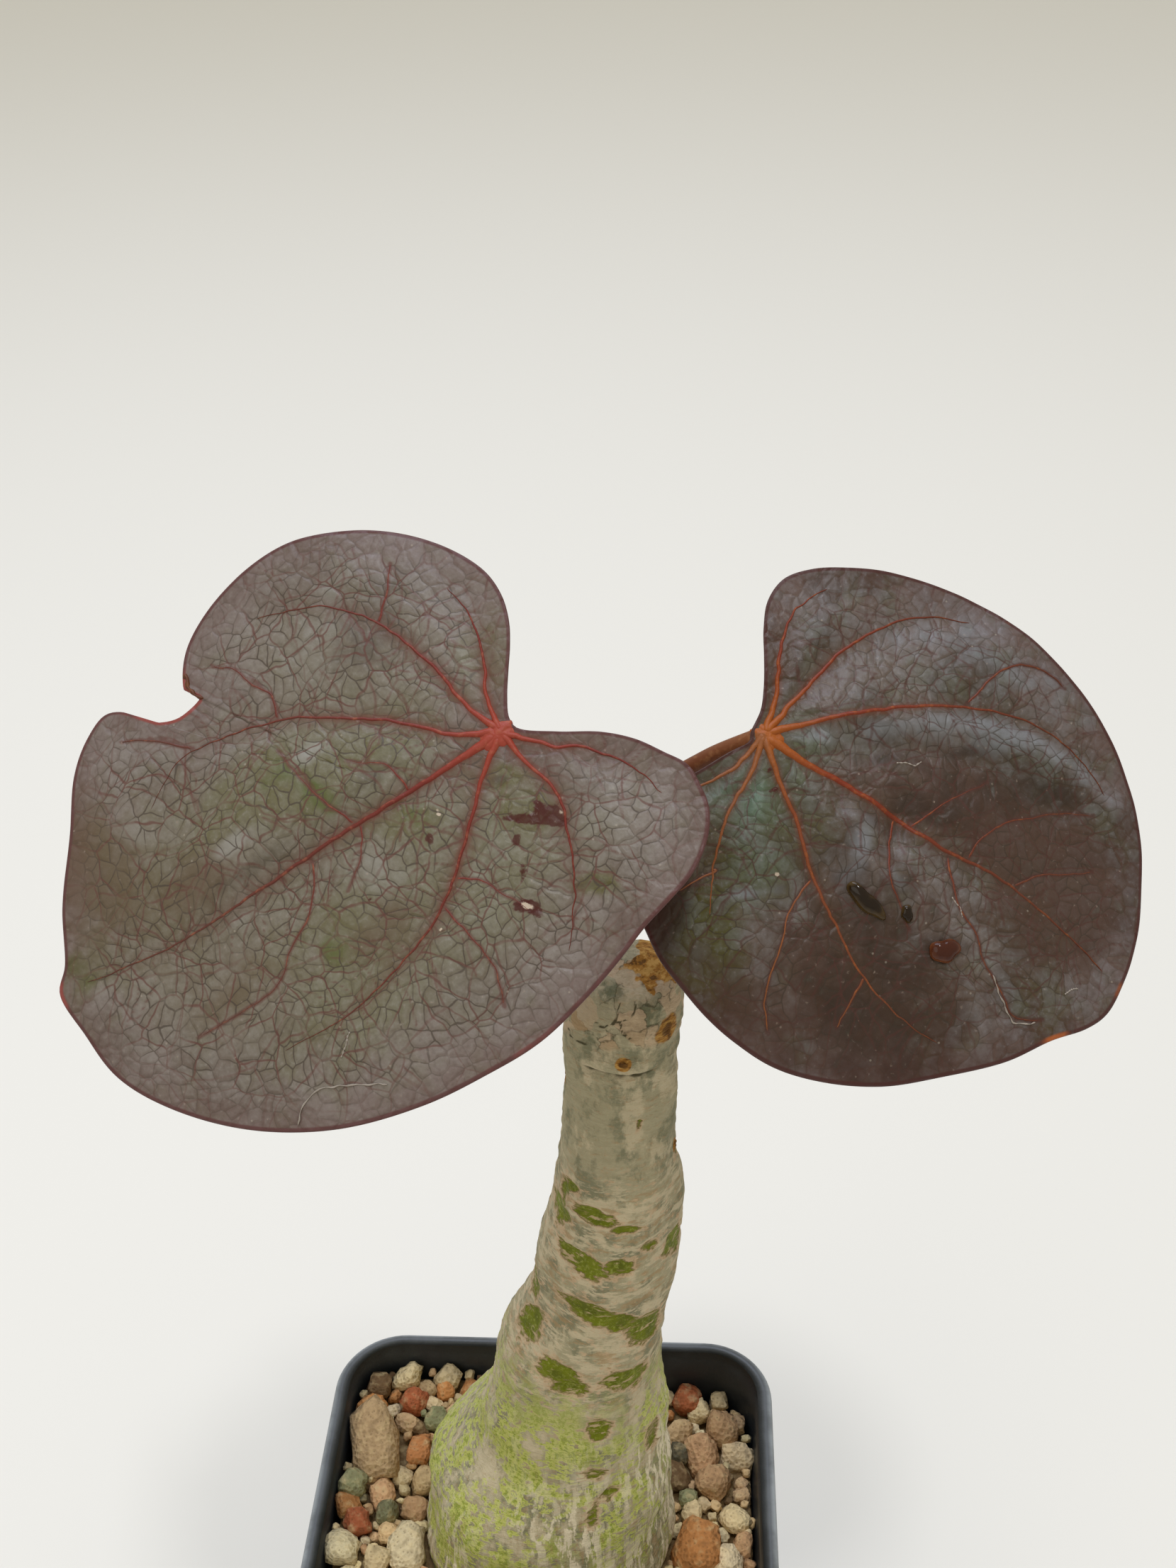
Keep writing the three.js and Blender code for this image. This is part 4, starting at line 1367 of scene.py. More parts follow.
# The stones' colours, and how the grains that aren't placed one by one share the stones
STONES = {
    "cream": "#d6c092", "pale": "#e4d2a8", "beige": "#cfae80", "pink": "#bf976c", "brick": "#a25a36",
    "orange": "#b87c48", "moss": "#84855f", "dark": "#56523f", "umber": "#6b5236",
}
CROWD = {
    "cream": 9, "beige": 9, "pale": 4, "pink": 4, "brick": 1.2, "orange": 2, "moss": 1.6, "umber": 1.5, "dark": 0.6,
}


@dataclass
class Substrate:
    """The grit: a bed that fills the pot and loose grains lying on it.

    Attributes:
        stones: the stones that show in the photograph, as X, Y, width, length along Y and stone.
        top, heap: the height of the surface in the pot's middle, and how far it falls for each mm towards +X.
        stem_at: the stem's middle at the grit's surface.
        stem_radius: the stem's radius there.
        layers: for each layer of grains the tries, the narrowest and widest, how high it lies, and its spacing.
        bed_drop, bed_floor, gap: how far the bed stays below the surface, above the pot's underside and off its wall.
        squareness: the power that gives the bed its rounded square.
        floor_share, wall_share: where the bed's floor ends and where its wall ends, along its mesh.
        corner: the corner radius that the grains keep to.
        gap_shade_colour: the colour of the bed between the grains, darker than the grains as painted shade in the gaps.
    """

    pot: Pot
    stones: tuple[tuple[float, float, float, float, str], ...]
    top: float = 67.0
    bed_drop: float = 1.2
    bed_floor: float = 2.2
    gap: float = 0.4
    squareness: float = 7.0
    floor_share: float = 0.02
    wall_share: float = 0.3
    corner: float = 7.5
    gap_shade_colour: str = "#7d6542"
    heap: float = 0.085
    stem_at: tuple[float, float] = (0.6, 6.0)
    stem_radius: float = 20.1
    seed: int = 11
    layers: tuple[tuple[float, ...], ...] = (
        (2600, 3.2, 5.2, -0.2, 0.86), (4200, 2.0, 3.3, -0.4, 0.82),
        (6000, 1.2, 2.1, 0.2, 0.85), (1500, 1.6, 2.8, 1.1, 1.1),
    )

    def surface(self, x: float) -> float:
        """The height of the bed, which is heaped towards -X."""
        return self.top - self.heap * x

    def build_bed(self) -> bpy.types.Object:
        """Builds the bed as one closed body: the pot's inside up to the grit's rough surface."""
        levels = (self.bed_floor, 20.0, 45.0, 64.0)
        halves = [self.pot.wall_at(z)[0] - self.pot.wall - self.gap for z in levels]

        def place(around: Array, share: Array) -> Array:
            """Puts a point of the grid on the bed: floor, wall, then the top drawn in to its middle."""
            turn = 2 * np.pi * around
            first, second, power = self.floor_share, self.wall_share, self.squareness
            z = self.bed_floor + np.clip(share / second, 0, 1) * (self.top - self.bed_drop - self.bed_floor)
            square = (np.abs(np.cos(turn)) ** power + np.abs(np.sin(turn)) ** power) ** (-1 / power)
            drawn = np.where(share < first, share / first, np.where(share > second, (1 - share) / (1 - second), 1))
            reach = np.interp(z, levels, halves) * square * drawn
            flat = np.column_stack([reach * np.cos(turn), reach * np.sin(turn)])
            level = self.surface(flat[:, 0]) - self.bed_drop + 0.5 * lumps(flat, 3.0, 2, 1.0)
            return np.column_stack([flat, np.where(share > second, level, np.minimum(z, level))])

        bm = bmesh.new()
        shaped_grid(bm, columns=120, rows=110, place=place)
        bed = hand_over(bm, "grit_bed", StoneGrit(), "grit", "substrate")
        # The bed is coloured dark: painted shade in the gaps between the grains
        write_attribute(bed, "stone", np.tile(linear(self.gap_shade_colour), (len(bed.data.vertices), 1)))
        return bed

    def lay_out(self) -> list[tuple[float, float, float, float, float, str]]:
        """Chooses where the grains lie: the known stones, a close layer between them, and small ones below.

        Returns:
            Rows of X, Y, height, diameter, length and stone.
        """
        draw = random.Random(self.seed)
        laid = [(x, y, self.surface(x) + 0.12 * wide, wide, long, stone) for x, y, wide, long, stone in self.stones]
        for tries, low, high, lift, close in self.layers:
            layer = list(laid)
            for _ in range(tries):
                wide = draw.uniform(low, high)
                reach = self.pot.wall_at(self.top)[0] - self.pot.wall - 0.5 * wide - 0.2
                x, y = draw.uniform(-reach, reach), draw.uniform(-reach, reach)
                past = Vector([max(0.0, abs(side) - reach + self.corner) for side in (x, y)]).length
                if past > self.corner or math.dist((x, y), self.stem_at) < self.stem_radius + 0.32 * wide:
                    continue
                if any(math.dist((x, y), g[:2]) < close * 0.5 * (wide + 0.5 * (g[3] + g[4])) for g in layer):
                    continue
                long = wide * draw.uniform(1.0, 1.45)
                high_up = self.surface(x) + lift + draw.uniform(-0.3, 0.5)
                layer.append((x, y, high_up, wide, long, draw.choices(list(CROWD), list(CROWD.values()))[0]))
            laid = layer
        return laid

    def build_grains(self) -> bpy.types.Object:
        """Builds every grain as a broken pebble of 54 faces, turned and lumpy in its own way."""
        draw = random.Random(self.seed + 1)
        bm = bmesh.new()
        own = bm.verts.layers.float_color.new("stone")
        for number, (x, y, z, wide, long, stone) in enumerate(self.lay_out()):
            cube = bmesh.ops.create_cube(bm, size=1.0)["verts"]
            edges = list({edge for vert in cube for edge in vert.link_edges})
            made = bmesh.ops.subdivide_edges(bm, edges=edges, cuts=2, use_grid_fill=True)["geom"]
            verts = list({vert for face in made if isinstance(face, bmesh.types.BMFace) for vert in face.verts})
            shift = Vector((draw.uniform(0, 99), draw.uniform(0, 99), draw.uniform(0, 99)))
            broken = draw.uniform(0.6, 0.95)
            base, bright = linear(STONES[stone]), draw.uniform(0.75, 1.2)
            colour = (base[0] * bright, base[1] * bright * draw.uniform(0.96, 1.04), base[2] * bright, 1.0)
            for vert in verts:
                unit = vert.co.normalized() * 0.5
                lump = 1 + 0.32 * noise.noise(unit * 2.8 + shift) + 0.14 * noise.noise(unit * 7 + shift)
                vert.co = (vert.co * (1 - broken) * 0.85 + unit * broken) * lump
                vert[own] = colour
            size = Matrix.Diagonal((long, wide, wide * draw.uniform(0.7, 0.95), 1))
            known = number < len(self.stones)
            turn = Matrix.Rotation(math.pi / 2 + draw.gauss(0, 0.15) if known else draw.uniform(0, 2 * math.pi), 4, "Z")
            tip = Matrix.Rotation(draw.gauss(0, 0.3), 4, "X") @ Matrix.Rotation(draw.gauss(0, 0.3), 4, "Y")
            bmesh.ops.transform(bm, matrix=Matrix.Translation((x, y, z)) @ turn @ tip @ size, verts=verts)
        return hand_over(bm, "grit_grains", StoneGrit(), "grit", "substrate")


# Studio


@dataclass
class Studio:
    """The pale floor, the soft lights and the camera.

    Attributes:
        lens_pixels: the photograph's focal length in its own pixels.
        frame_height: the photograph's height in pixels.
        spot: where the camera stands, in metres.
        pitch, roll, yaw: degrees it looks down, is tipped and is turned.
        aim: the point that the lights face, in metres.
        lamps: for each light its name, place in metres, width in metres, watts and colour.
        sky, sky_strength: the colour and strength of the light from all round.
        floor_half: half the floor's width in metres.
    """

    lens_pixels: float = 2500.0
    frame_height: float = 2212.0
    spot: tuple[float, float, float] = (0.02069, -0.16483, 0.33230)
    pitch: float = 34.4
    roll: float = -1.4
    yaw: float = -3.6
    aim: tuple[float, float, float] = (0.01, 0.0, 0.18)
    lamps: tuple[tuple[str, tuple[float, float, float], float, float, str], ...] = (
        ("top_light", (-0.15, 0.35, 1.3), 0.9, 8.2, "#dce7ff"),
        ("front_light", (-0.7, -0.9, 0.9), 0.8, 1.6, "#fffaf2"),
        ("ceiling_bulb", (0.12, -0.28, 1.2), 0.12, 2.4, "#ffffff"),
    )
    sky: str = "#e6e2d4"
    sky_strength: float = 0.8
    floor_half: float = 4.0

    def camera(self) -> None:
        """Sets the camera at the photograph's view."""
        pitch, roll, turn = math.radians(self.pitch), math.radians(self.roll), -math.radians(self.yaw)
        spin = Matrix.Rotation(turn, 3, "Z")
        look = spin @ Vector((0, math.cos(pitch), -math.sin(pitch)))
        level = spin @ Vector((1, 0, 0))
        rise = spin @ Vector((0, math.sin(pitch), math.cos(pitch)))
        right = math.cos(roll) * level + math.sin(roll) * rise
        up = -math.sin(roll) * level + math.cos(roll) * rise
        data = bpy.data.cameras.new("photo_camera")
        data.sensor_fit, data.sensor_height = "VERTICAL", 36.0
        data.lens = self.lens_pixels / self.frame_height * data.sensor_height
        data.clip_start = 0.01
        camera = bpy.data.objects.new("photo_camera", data)
        camera.matrix_world = Matrix.Translation(self.spot) @ Matrix((right, up, -look)).transposed().to_4x4()
        bpy.context.scene.collection.objects.link(camera)
        bpy.context.scene.camera = camera

    def lamp(self, name: str, at: tuple[float, float, float], size: float, watts: float, code: str) -> None:
        """Adds one soft round light that faces the plant.

        Args:
            name: its name.
            at: where it hangs, in metres.
            size: its width in metres.
            watts: its power.
            code: its colour.
        """
        data = bpy.data.lights.new(name, "AREA")
        data.shape, data.size, data.energy = "DISK", size, watts
        data.color = linear(code)[:3]
        lamp = bpy.data.objects.new(name, data)
        lamp.location = at
        lamp.rotation_euler = (Vector(self.aim) - Vector(at)).to_track_quat("-Z", "Y").to_euler()
        bpy.context.scene.collection.objects.link(lamp)

    def build(self) -> None:
        """Lays the floor, hangs the lights and sets the camera."""
        bm = bmesh.new()
        bmesh.ops.create_grid(bm, x_segments=2, y_segments=2, size=self.floor_half)
        floor = put_in_scene(bm, "floor")
        floor.data.materials.append(PaleFloor().material())
        for lamp in self.lamps:
            self.lamp(*lamp)
        world = bpy.data.worlds.new("soft_studio")
        world.use_nodes = True
        background = world.node_tree.nodes["Background"].inputs
        background[0].default_value, background[1].default_value = linear(self.sky), self.sky_strength
        bpy.context.scene.world = world
        bpy.context.scene.view_settings.view_transform = "Standard"
        self.camera()


# The plant of the photograph

LEFT_LEAF = Leaf(
    side="left",
    junction=(1.3, -4.0, 228.5),
    azimuth=-8, elevation=47, turn=-143,
    bend=0.0022, wave=0.8, crest=-15, span=50, fold=0.0, fold_at=0.0,
    outline=(
        (170, 1.8), (150, 6), (149, 11), (146, 14.6), (142, 17.8), (139, 20.6), (134, 22.4), (129, 24), (122, 25.2),
        (113, 25.9), (104, 26), (96, 26.4), (88, 27.7), (78, 30), (67, 33.5), (57, 36.8), (48, 40.6), (37, 45.7),
        (26, 50.7), (16, 55), (9, 57.4), (3, 57.8), (-2.5, 58.2), (-5, 56.2), (-11, 54.2), (-20, 51.6), (-27.5, 51),
        (-32.5, 49.9), (-36, 48.1), (-36.6, 45.8), (-35.4, 43), (-35, 40.4), (-36, 38), (-39.8, 36), (-39.5, 37.6),
        (-43, 38.9), (-48.5, 39.6), (-55, 39), (-64, 37.3), (-73, 35), (-83, 31.1), (-93, 27.1), (-103, 23.1),
        (-113, 19.1), (-119, 16), (-123, 12.9), (-125, 10), (-126, 7), (-129, 4.2), (-146, 2),
    ),
    ribs=(
        ((2, 10), (1, 25), (1, 38), (0, 46), (-2, 55)),
        ((-30, 5.5), (-38, 11), (-38, 17.6), (-36, 25.6), (-32, 32), (-28, 37.4), (-20, 41.5)),
        ((-70, 5.3), (-75, 10), (-73, 19.4), (-67, 26), (-57, 33)),
        ((-98, 4.1), (-106, 9), (-104, 14.4), (-99, 18.5)),
        ((38, 5.1), (42, 10), (42, 19.3), (37, 26.6), (31, 34.5), (24, 41.8)),
        ((100, 4.6), (102, 9), (94, 13.2), (85, 19), (77, 25)),
        ((134, 5.6), (138, 9.5), (134, 14.8), (128, 19)),
    ),
    twigs=(
        ((0, 11.8), (-15, 13), (-21, 17.4)),
        ((1, 18.7), (-8, 20.2), (-16, 22.1), (-28, 25.3)),
        ((3, 18.4), (11, 20.3), (15, 23.7)),
        ((2, 24.8), (12, 28.5), (14, 32.1), (17, 36.6), (15, 41.9), (13, 47)),
        ((43, 16.5), (52, 16.2), (62, 17.6), (70, 19.8)),
        ((42, 19.6), (50, 21.6), (57, 24.2), (60, 27.1), (61, 29.4)),
        ((-37, 25.9), (-42, 27.3), (-44, 29.9), (-46, 32.6), (-46, 35.6)),
        ((-30, 35.8), (-32, 41.6), (-32, 45.2)),
        ((-73, 19.4), (-81, 21.3), (-87, 24.2)),
    ),
    scratches=(
        ((40.2, 24.9), (38.6, 23.3), (36.1, 22.9), (32.9, 24.3), (29.0, 26.3)),
        ((32.3, 21.3), (30.1, 19.4)),
    ),
    petiole=((9.8, 4.6, 184.5), (8.2, 4.8, 191), (6.4, 4.8, 202), (4.4, 3.6, 213), (2.6, 0.4, 222.5)),
    marks={
        Tint.MOSSY: (
            (19, -7, 15, 6, -10, 0.9), (25, 14, 13, 8, 30, 0.85), (-3.6, -8.3, 5, 5, 0, 0.8), (7, 12, 9, 7, 60, 0.7),
            (52, -4, 5, 6, 0, 0.6),
        ),
        Tint.BROWN: (
            (48, -12, 8, 12, 0, 0.8), (21.4, 11.9, 5, 3, 20, 0.7), (39, 8.6, 7, 5, 0, 0.5), (36.5, -4, 5, 3, 0, 0.8),
            (5, 1.5, 5, 3, 10, 0.6),
        ),
        Tint.OLIVE: (
            (2.0, 4.2, 2.4, 1.3, 153, 1.3), (2.0, 9.0, 3.4, 2.6, 153, 1.2), (-0.7, 19.5, 2.6, 1.2, 153, 1.2),
            (13.6, 3.4, 5, 2.6, 140, 0.8), (26, 11, 5, 3.4, 100, 0.8), (23, -7.6, 7, 4, 108, 0.8),
            (14, -6, 8, 2.6, -10, 0.6), (31, -8, 7, 3, 10, 0.6), (44, -6, 7, 8, 0, 0.45), (35, 8, 8, 3, 20, 0.4),
            (47, -15, 6, 5, 0, 0.34),
        ),
        # Darker patches: painted shade in the valleys by the folds and on the lobe, and the dark rims of the olive
        # spots
        Tint.SHADE: (
            (2.4, 4.6, 1.2, 0.6, 153, 0.8), (-0.7, 19.5, 2.0, 0.9, 153, 0.6), (7.3, -15.9, 5, 4, 0, 0.4),
            (30, -1.8, 8, 1.6, 0, 0.4), (15, -3, 6, 1.6, 10, 0.4), (5, -21, 8, 4, 20, 0.34),
        ),
        Tint.WINDOW: (
            (20.6, -4.6, 3.6, 1.6, 108, 0.7), (23.4, -9.6, 2.4, 1.6, 20, 0.45), (27.4, 10.4, 3.0, 1.8, 90, 0.45),
            (12.6, 3.1, 2.2, 1.6, 80, 0.5), (55, -3.9, 2.4, 3.4, 0, 0.5),
        ),
        Tint.RAW: (
            (31, -24, 6, 4, 0, 1.0), (58, -2.4, 2.0, 1.0, 90, 0.9), (8, 26.6, 14, 4, 30, 0.3),
        ),
        Tint.STAIN: (
            (2.0, 10.0, 4.2, 0.7, 145, 0.75), (0.4, 9.4, 0.9, 1.6, 20, 0.7), (-0.7, 10.8, 1.2, 0.8, 60, 0.6),
            (4.3, 11.2, 0.6, 1.0, 140, 0.7), (5.5, 14.6, 1.3, 0.5, 60, 0.5), (4.6, 15.6, 0.4, 1.2, 10, 0.5),
            (7.2, 17.6, 1.6, 0.8, 160, 0.8), (6.4, 18.8, 0.6, 0.9, 20, 0.7), (12.3, 6.1, 0.7, 0.5, 60, 0.6),
            (21.2, 8.4, 0.5, 0.4, 60, 0.6),
        ),
        Tint.SCAR: (
            (6.9, 17.8, 0.8, 0.36, 125, 0.85), (-1.3, 11.0, 0.2, 0.9, 150, 0.6), (16.1, 15.2, 0.28, 0.16, 0, 0.8),
            (10.2, 4.2, 0.34, 0.16, 60, 0.8),
        ),
        # Painted sheen: pale streaks along the ridges
        Tint.BLOOM: (
            (31.5, -5.0, 3.6, 1.3, 0, 0.7), (19.8, -9.6, 2.8, 1.4, 0, 0.75), (41, -13, 3.4, 2, 140, 0.4),
            (19, 6, 4, 3, 140, 0.5), (-5, 13, 5, 5, 0, 0.32), (12, -22, 9, 4, 30, 0.35), (35.1, 1.8, 5, 1.6, 60, 0.4),
            (9, 12, 9, 5, 60, 0.25),
        ),
    },
    folds=(
        (((14, -3), (24, -5), (34, -5)), 0.55, 4.0),
        (((26, 2.5), (34, 5), (42, 6)), -0.4, 3.0),
        (((16, 6), (24, 12), (30, 18)), 0.4, 5.0),
    ),
    quilt=0.3,
    skin=LeafSkin(
        "leaf_skin_left", mauve="#736761", deep="#655850", mossy="#66614a", brown="#5a4a38", bloom="#8d8a84",
        shade="#443930", net="#58332c", rib="#663629", rim="#54302f", raw="#84403a", under="#6a4643", fine="#40352c",
    ),
    shreds=(
        ((28.2, -26.7), (27.9, -25.9), (28.3, -25.0), (28.1, -24.2), (27.9, -23.4), (27.2, -22.5)),
    ),
    rib_root=0.38,
    rib_tip=0.06,
    rib_flare=0.5,
    veins=VeinSkin("rib_skin_left", "#933b2b", "#6c261d", "#5a3329", "#a8664a"),
    stalk=VeinSkin("stalk_skin_left", "#8a4424", "#753820", "#663424", "#a06a40"),
)

RIGHT_LEAF = Leaf(
    side="right",
    junction=(30.3, 7.0, 221.5),
    azimuth=10, elevation=48, turn=-43,
    bend=0.0032, wave=1.2, crest=50, span=45, fold=0.008, fold_at=8.0,
    outline=(
        (-150, 1.7), (135, 3), (127, 5.6), (126, 9.5), (126, 13), (124, 16.5), (118.5, 19.5), (110, 21.6), (100, 23.6),
        (90, 26.2), (80, 29.1), (70, 32.2), (60, 35.3), (50, 38.5), (41, 41.8), (33, 44.7), (25.5, 47.2), (18, 48.9),
        (11, 50.3), (5, 50.9), (-0.5, 51), (-4, 50), (-9, 47.7), (-16, 46), (-25, 43.5), (-33.5, 41.8), (-42.5, 39.6),
        (-51, 37.3), (-58.5, 34.7), (-65, 32.4), (-71.5, 30.1), (-78, 28.2), (-84, 26.2), (-92, 24), (-101, 21.5),
        (-109, 17.5), (-113, 13), (-113.5, 9), (-116, 4.5), (-120, 2),
    ),
    ribs=(
        ((0, 5), (5, 12), (5, 24), (7, 32), (5, 44), (4, 48.5)),
        ((52, 5), (50, 12), (48, 20), (45, 27), (41, 33), (34, 39), (29, 42)),
        ((86, 5.6), (85, 12.8), (81, 19.3), (75, 25), (67, 30)),
        ((110, 5), (115, 10), (112, 15.8), (103, 20)),
        ((-38, 5), (-34, 10), (-35, 17.2), (-33, 23.3), (-31, 29.6), (-27, 35.8), (-23, 40.3)),
        ((-74, 4.9), (-78, 10), (-75, 16), (-70, 22)),
        ((-95, 5), (-103, 9), (-108, 14)),
    ),
    twigs=(
        ((47, 24.5), (51, 27), (54, 30.1), (54, 33.2), (51, 35.9), (48, 37.4)),
        ((-35, 17.2), (-42, 18.9), (-47, 21.3), (-49, 23.8), (-52, 27.1), (-53, 30.5), (-52, 33.5)),
        ((-31, 29.6), (-35, 31.5), (-39, 34)),
        ((-73, 16.6), (-78, 18.4), (-82, 20.5)),
        ((4, 17.7), (-5, 19), (-12, 21), (-15, 23.9), (-17, 27.7)),
        ((4, 25.2), (-1, 27.3), (-5, 30), (-6, 32.8), (-9, 36.1), (-10, 39.3), (-11, 42.7), (-8, 45.3)),
        ((5, 19.7), (15, 21.6), (22, 24.2), (27, 26.8)),
        ((7, 27.3), (12, 27.6), (19, 30.1), (22, 33.1), (25, 36.8), (26, 40.8)),
        ((8, 34), (12, 36.1), (14, 38.6), (17, 42.2)),
    ),
    scratches=(
        ((28.1, -1.8), (29.4, -2.3), (30.6, -3.1)),
        ((37.0, -6.1), (39.6, -7.6), (42.1, -8.6), (43.4, -8.0), (44.3, -7.0)),
        ((14.0, 6.6), (14.8, 7.4), (16.0, 8.0), (16.2, 8.9)),
        ((45.2, -2.2), (45.9, -0.9), (46.4, -0.6)),
    ),
    petiole=((12.4, 7.6, 185.5), (12.6, 8.2, 192), (13.8, 8.8, 202), (17.4, 9, 211.6), (23.6, 8.6, 217)),
    marks={
        Tint.MOSSY: (
            (-1.3, -7.7, 5, 8, 0, 1.0), (6, -9, 7, 5.4, 0, 0.95), (6, -15, 6, 5, 0, 0.7), (3, 1, 5.4, 5.0, 0, 0.9),
        ),
        Tint.WINDOW: (
            (2.0, -7.0, 4.0, 4.6, 0, 0.7),
        ),
        Tint.OLIVE: (
            (0, -14, 3, 7, 0, 0.9), (5.6, -19.6, 4.4, 7, 25, 0.9), (10.4, -24.4, 6, 4, -20, 0.8),
            (44.4, -4.6, 4.4, 3.4, 0, 0.45), (10, -6, 3, 5, -40, 0.5),
        ),
        Tint.BROWN: (
            (16, -26, 7, 3, -10, 0.6), (37.4, 9.6, 7, 6, 0, 1.0), (28, 9, 7, 3.4, 0, 0.7), (40, 4, 8, 6, 0, 0.8),
            (24, -19, 8, 5, -20, 0.4), (0.6, -20, 3.4, 8, 10, 1.0), (27, -15, 19, 12, -30, 0.7),
            (22, 8, 14, 6, 20, 0.7),
        ),
        Tint.STAIN: (
            (3.0, -3.2, 0.5, 0.9, -20, 0.6), (4.6, -4.8, 0.4, 1.1, -20, 0.65), (8.5, -11.0, 0.3, 0.9, -40, 0.6),
        ),
        # Painted shade: the left leaf's shadow along this blade's left edge, the valleys under the ridges and the
        # darker lower half; a few are dark spots of the skin itself
        Tint.SHADE: (
            (3.6, -24, 2.4, 5, 20, 1.0), (-0.4, -20, 2.4, 5, 0, 1.0), (-5, -14, 1.8, 6, 0, 0.9),
            (12.3, 5.9, 3.0, 0.8, 40, 0.4), (19.8, 13.2, 2.6, 0.8, 40, 0.45), (22.6, 9.4, 9, 4, 36, 0.42),
            (30.8, 16.2, 4.2, 1.6, 36, 0.65), (21, 4.6, 5, 2.0, 43, 0.42), (18.1, 1.6, 3.4, 1.0, 97, 0.5),
            (24.7, -19.8, 2.0, 0.8, 100, 0.5), (31, -21, 13, 6, -30, 0.36), (30, -7.6, 2.6, 2.2, 43, 0.35),
            (25, -12, 15, 9, -20, 0.42),
        ),
        # Painted sheen: the bluish band along the ridge under the upper rib, and pale streaks on other ridges
        Tint.BLOOM: (
            (4.4, 3.4, 2.4, 1.0, 38, 0.6), (9.8, 8.4, 4.2, 1.4, 42, 0.6), (15.6, 13.8, 4.4, 1.9, 40, 0.65),
            (21.8, 17.0, 4.4, 2.2, 30, 0.6), (28.4, 19.9, 4.4, 1.9, 15, 0.42), (35.6, 20.6, 4.6, 1.6, 5, 0.45),
            (16.2, -3.4, 1.3, 3.0, 20, 0.65), (21.4, -4.6, 2.4, 1.0, -10, 0.45), (17, -8, 3, 3, 0, 0.3),
            (8, 22, 10, 4, 60, 0.35), (22, 26, 11, 4.4, 10, 0.35), (9.4, -16, 0.7, 4.0, -47, 0.45),
        ),
        Tint.SCAR: (
            (10.6, -12.3, 0.25, 0.25, 0, 1.0),
        ),
        Tint.RAW: (
            (47.4, -7.2, 2.6, 1.6, -60, 0.9), (50, 2.8, 1.6, 1.2, 90, 0.42),
        ),
    },
    folds=(
        (((6, 7), (14, 13.4), (22, 17.4), (30, 19.8), (38, 20.4)), 0.9, 2.3),
        (((8.5, 5.2), (15.5, 10.1), (22, 14.2), (28, 14.8), (33, 16.6)), -0.9, 2.2),
        (((14.5, -2), (17, -4.5), (21, -5)), 0.7, 2.0),
        (((17.9, 4), (18.2, 0.5), (19.5, -1.6)), -0.6, 1.8),
        (((14, 6), (20, 6), (26, 8)), 0.5, 2.6),
        (((10, -20), (20, -18), (30, -16)), 0.5, 4.0),
    ),
    quilt=0.6,
    skin=LeafSkin(
        "leaf_skin_right", mauve="#61514a", deep="#46362b", mossy="#4f543d", brown="#40271a", bloom="#7a7d82",
        shade="#2b1c12", net="#47261f", rib="#5c2d1a", rim="#43201c", raw="#9a5228", under="#5d3f3a", fine="#34291f",
        halo="#432d18", olive="#49451c", window="#526552", heart=0.12,
        nets=((8.5, 0.22, 0.5), (4.3, 0.18, 0.6), (1.75, 0.14, 0.65)),
    ),
    warmth=0.8,
    rib_root=0.47,
    rib_tip=0.09,
    rib_flare=0.45,
    veins=VeinSkin("rib_skin_right", "#964e14", "#742a12", "#5c2e1c", "#a8602a", "#84502c"),
    stalk=VeinSkin("stalk_skin_right", "#774626", "#6c3c24", "#603824", "#a07048"),
)

CLEAR = Water("clear_water", "#1e1206", "#4c3a1c")

DROPS = Drops(
    leaf=RIGHT_LEAF,
    drops=(
        ("drop_long", (20.4, -8.6), 2.7, 1.0, 0.9, -8, CLEAR),
        ("drop_small", (25.0, -6.8), 0.95, 0.7, 0.7, -47, CLEAR),
        ("drop_round", (30.9, -7.5), 1.75, 1.4, 1.2, 43, Water("tinted_water", "#3e1a0c", "#683a20")),
    ),
)

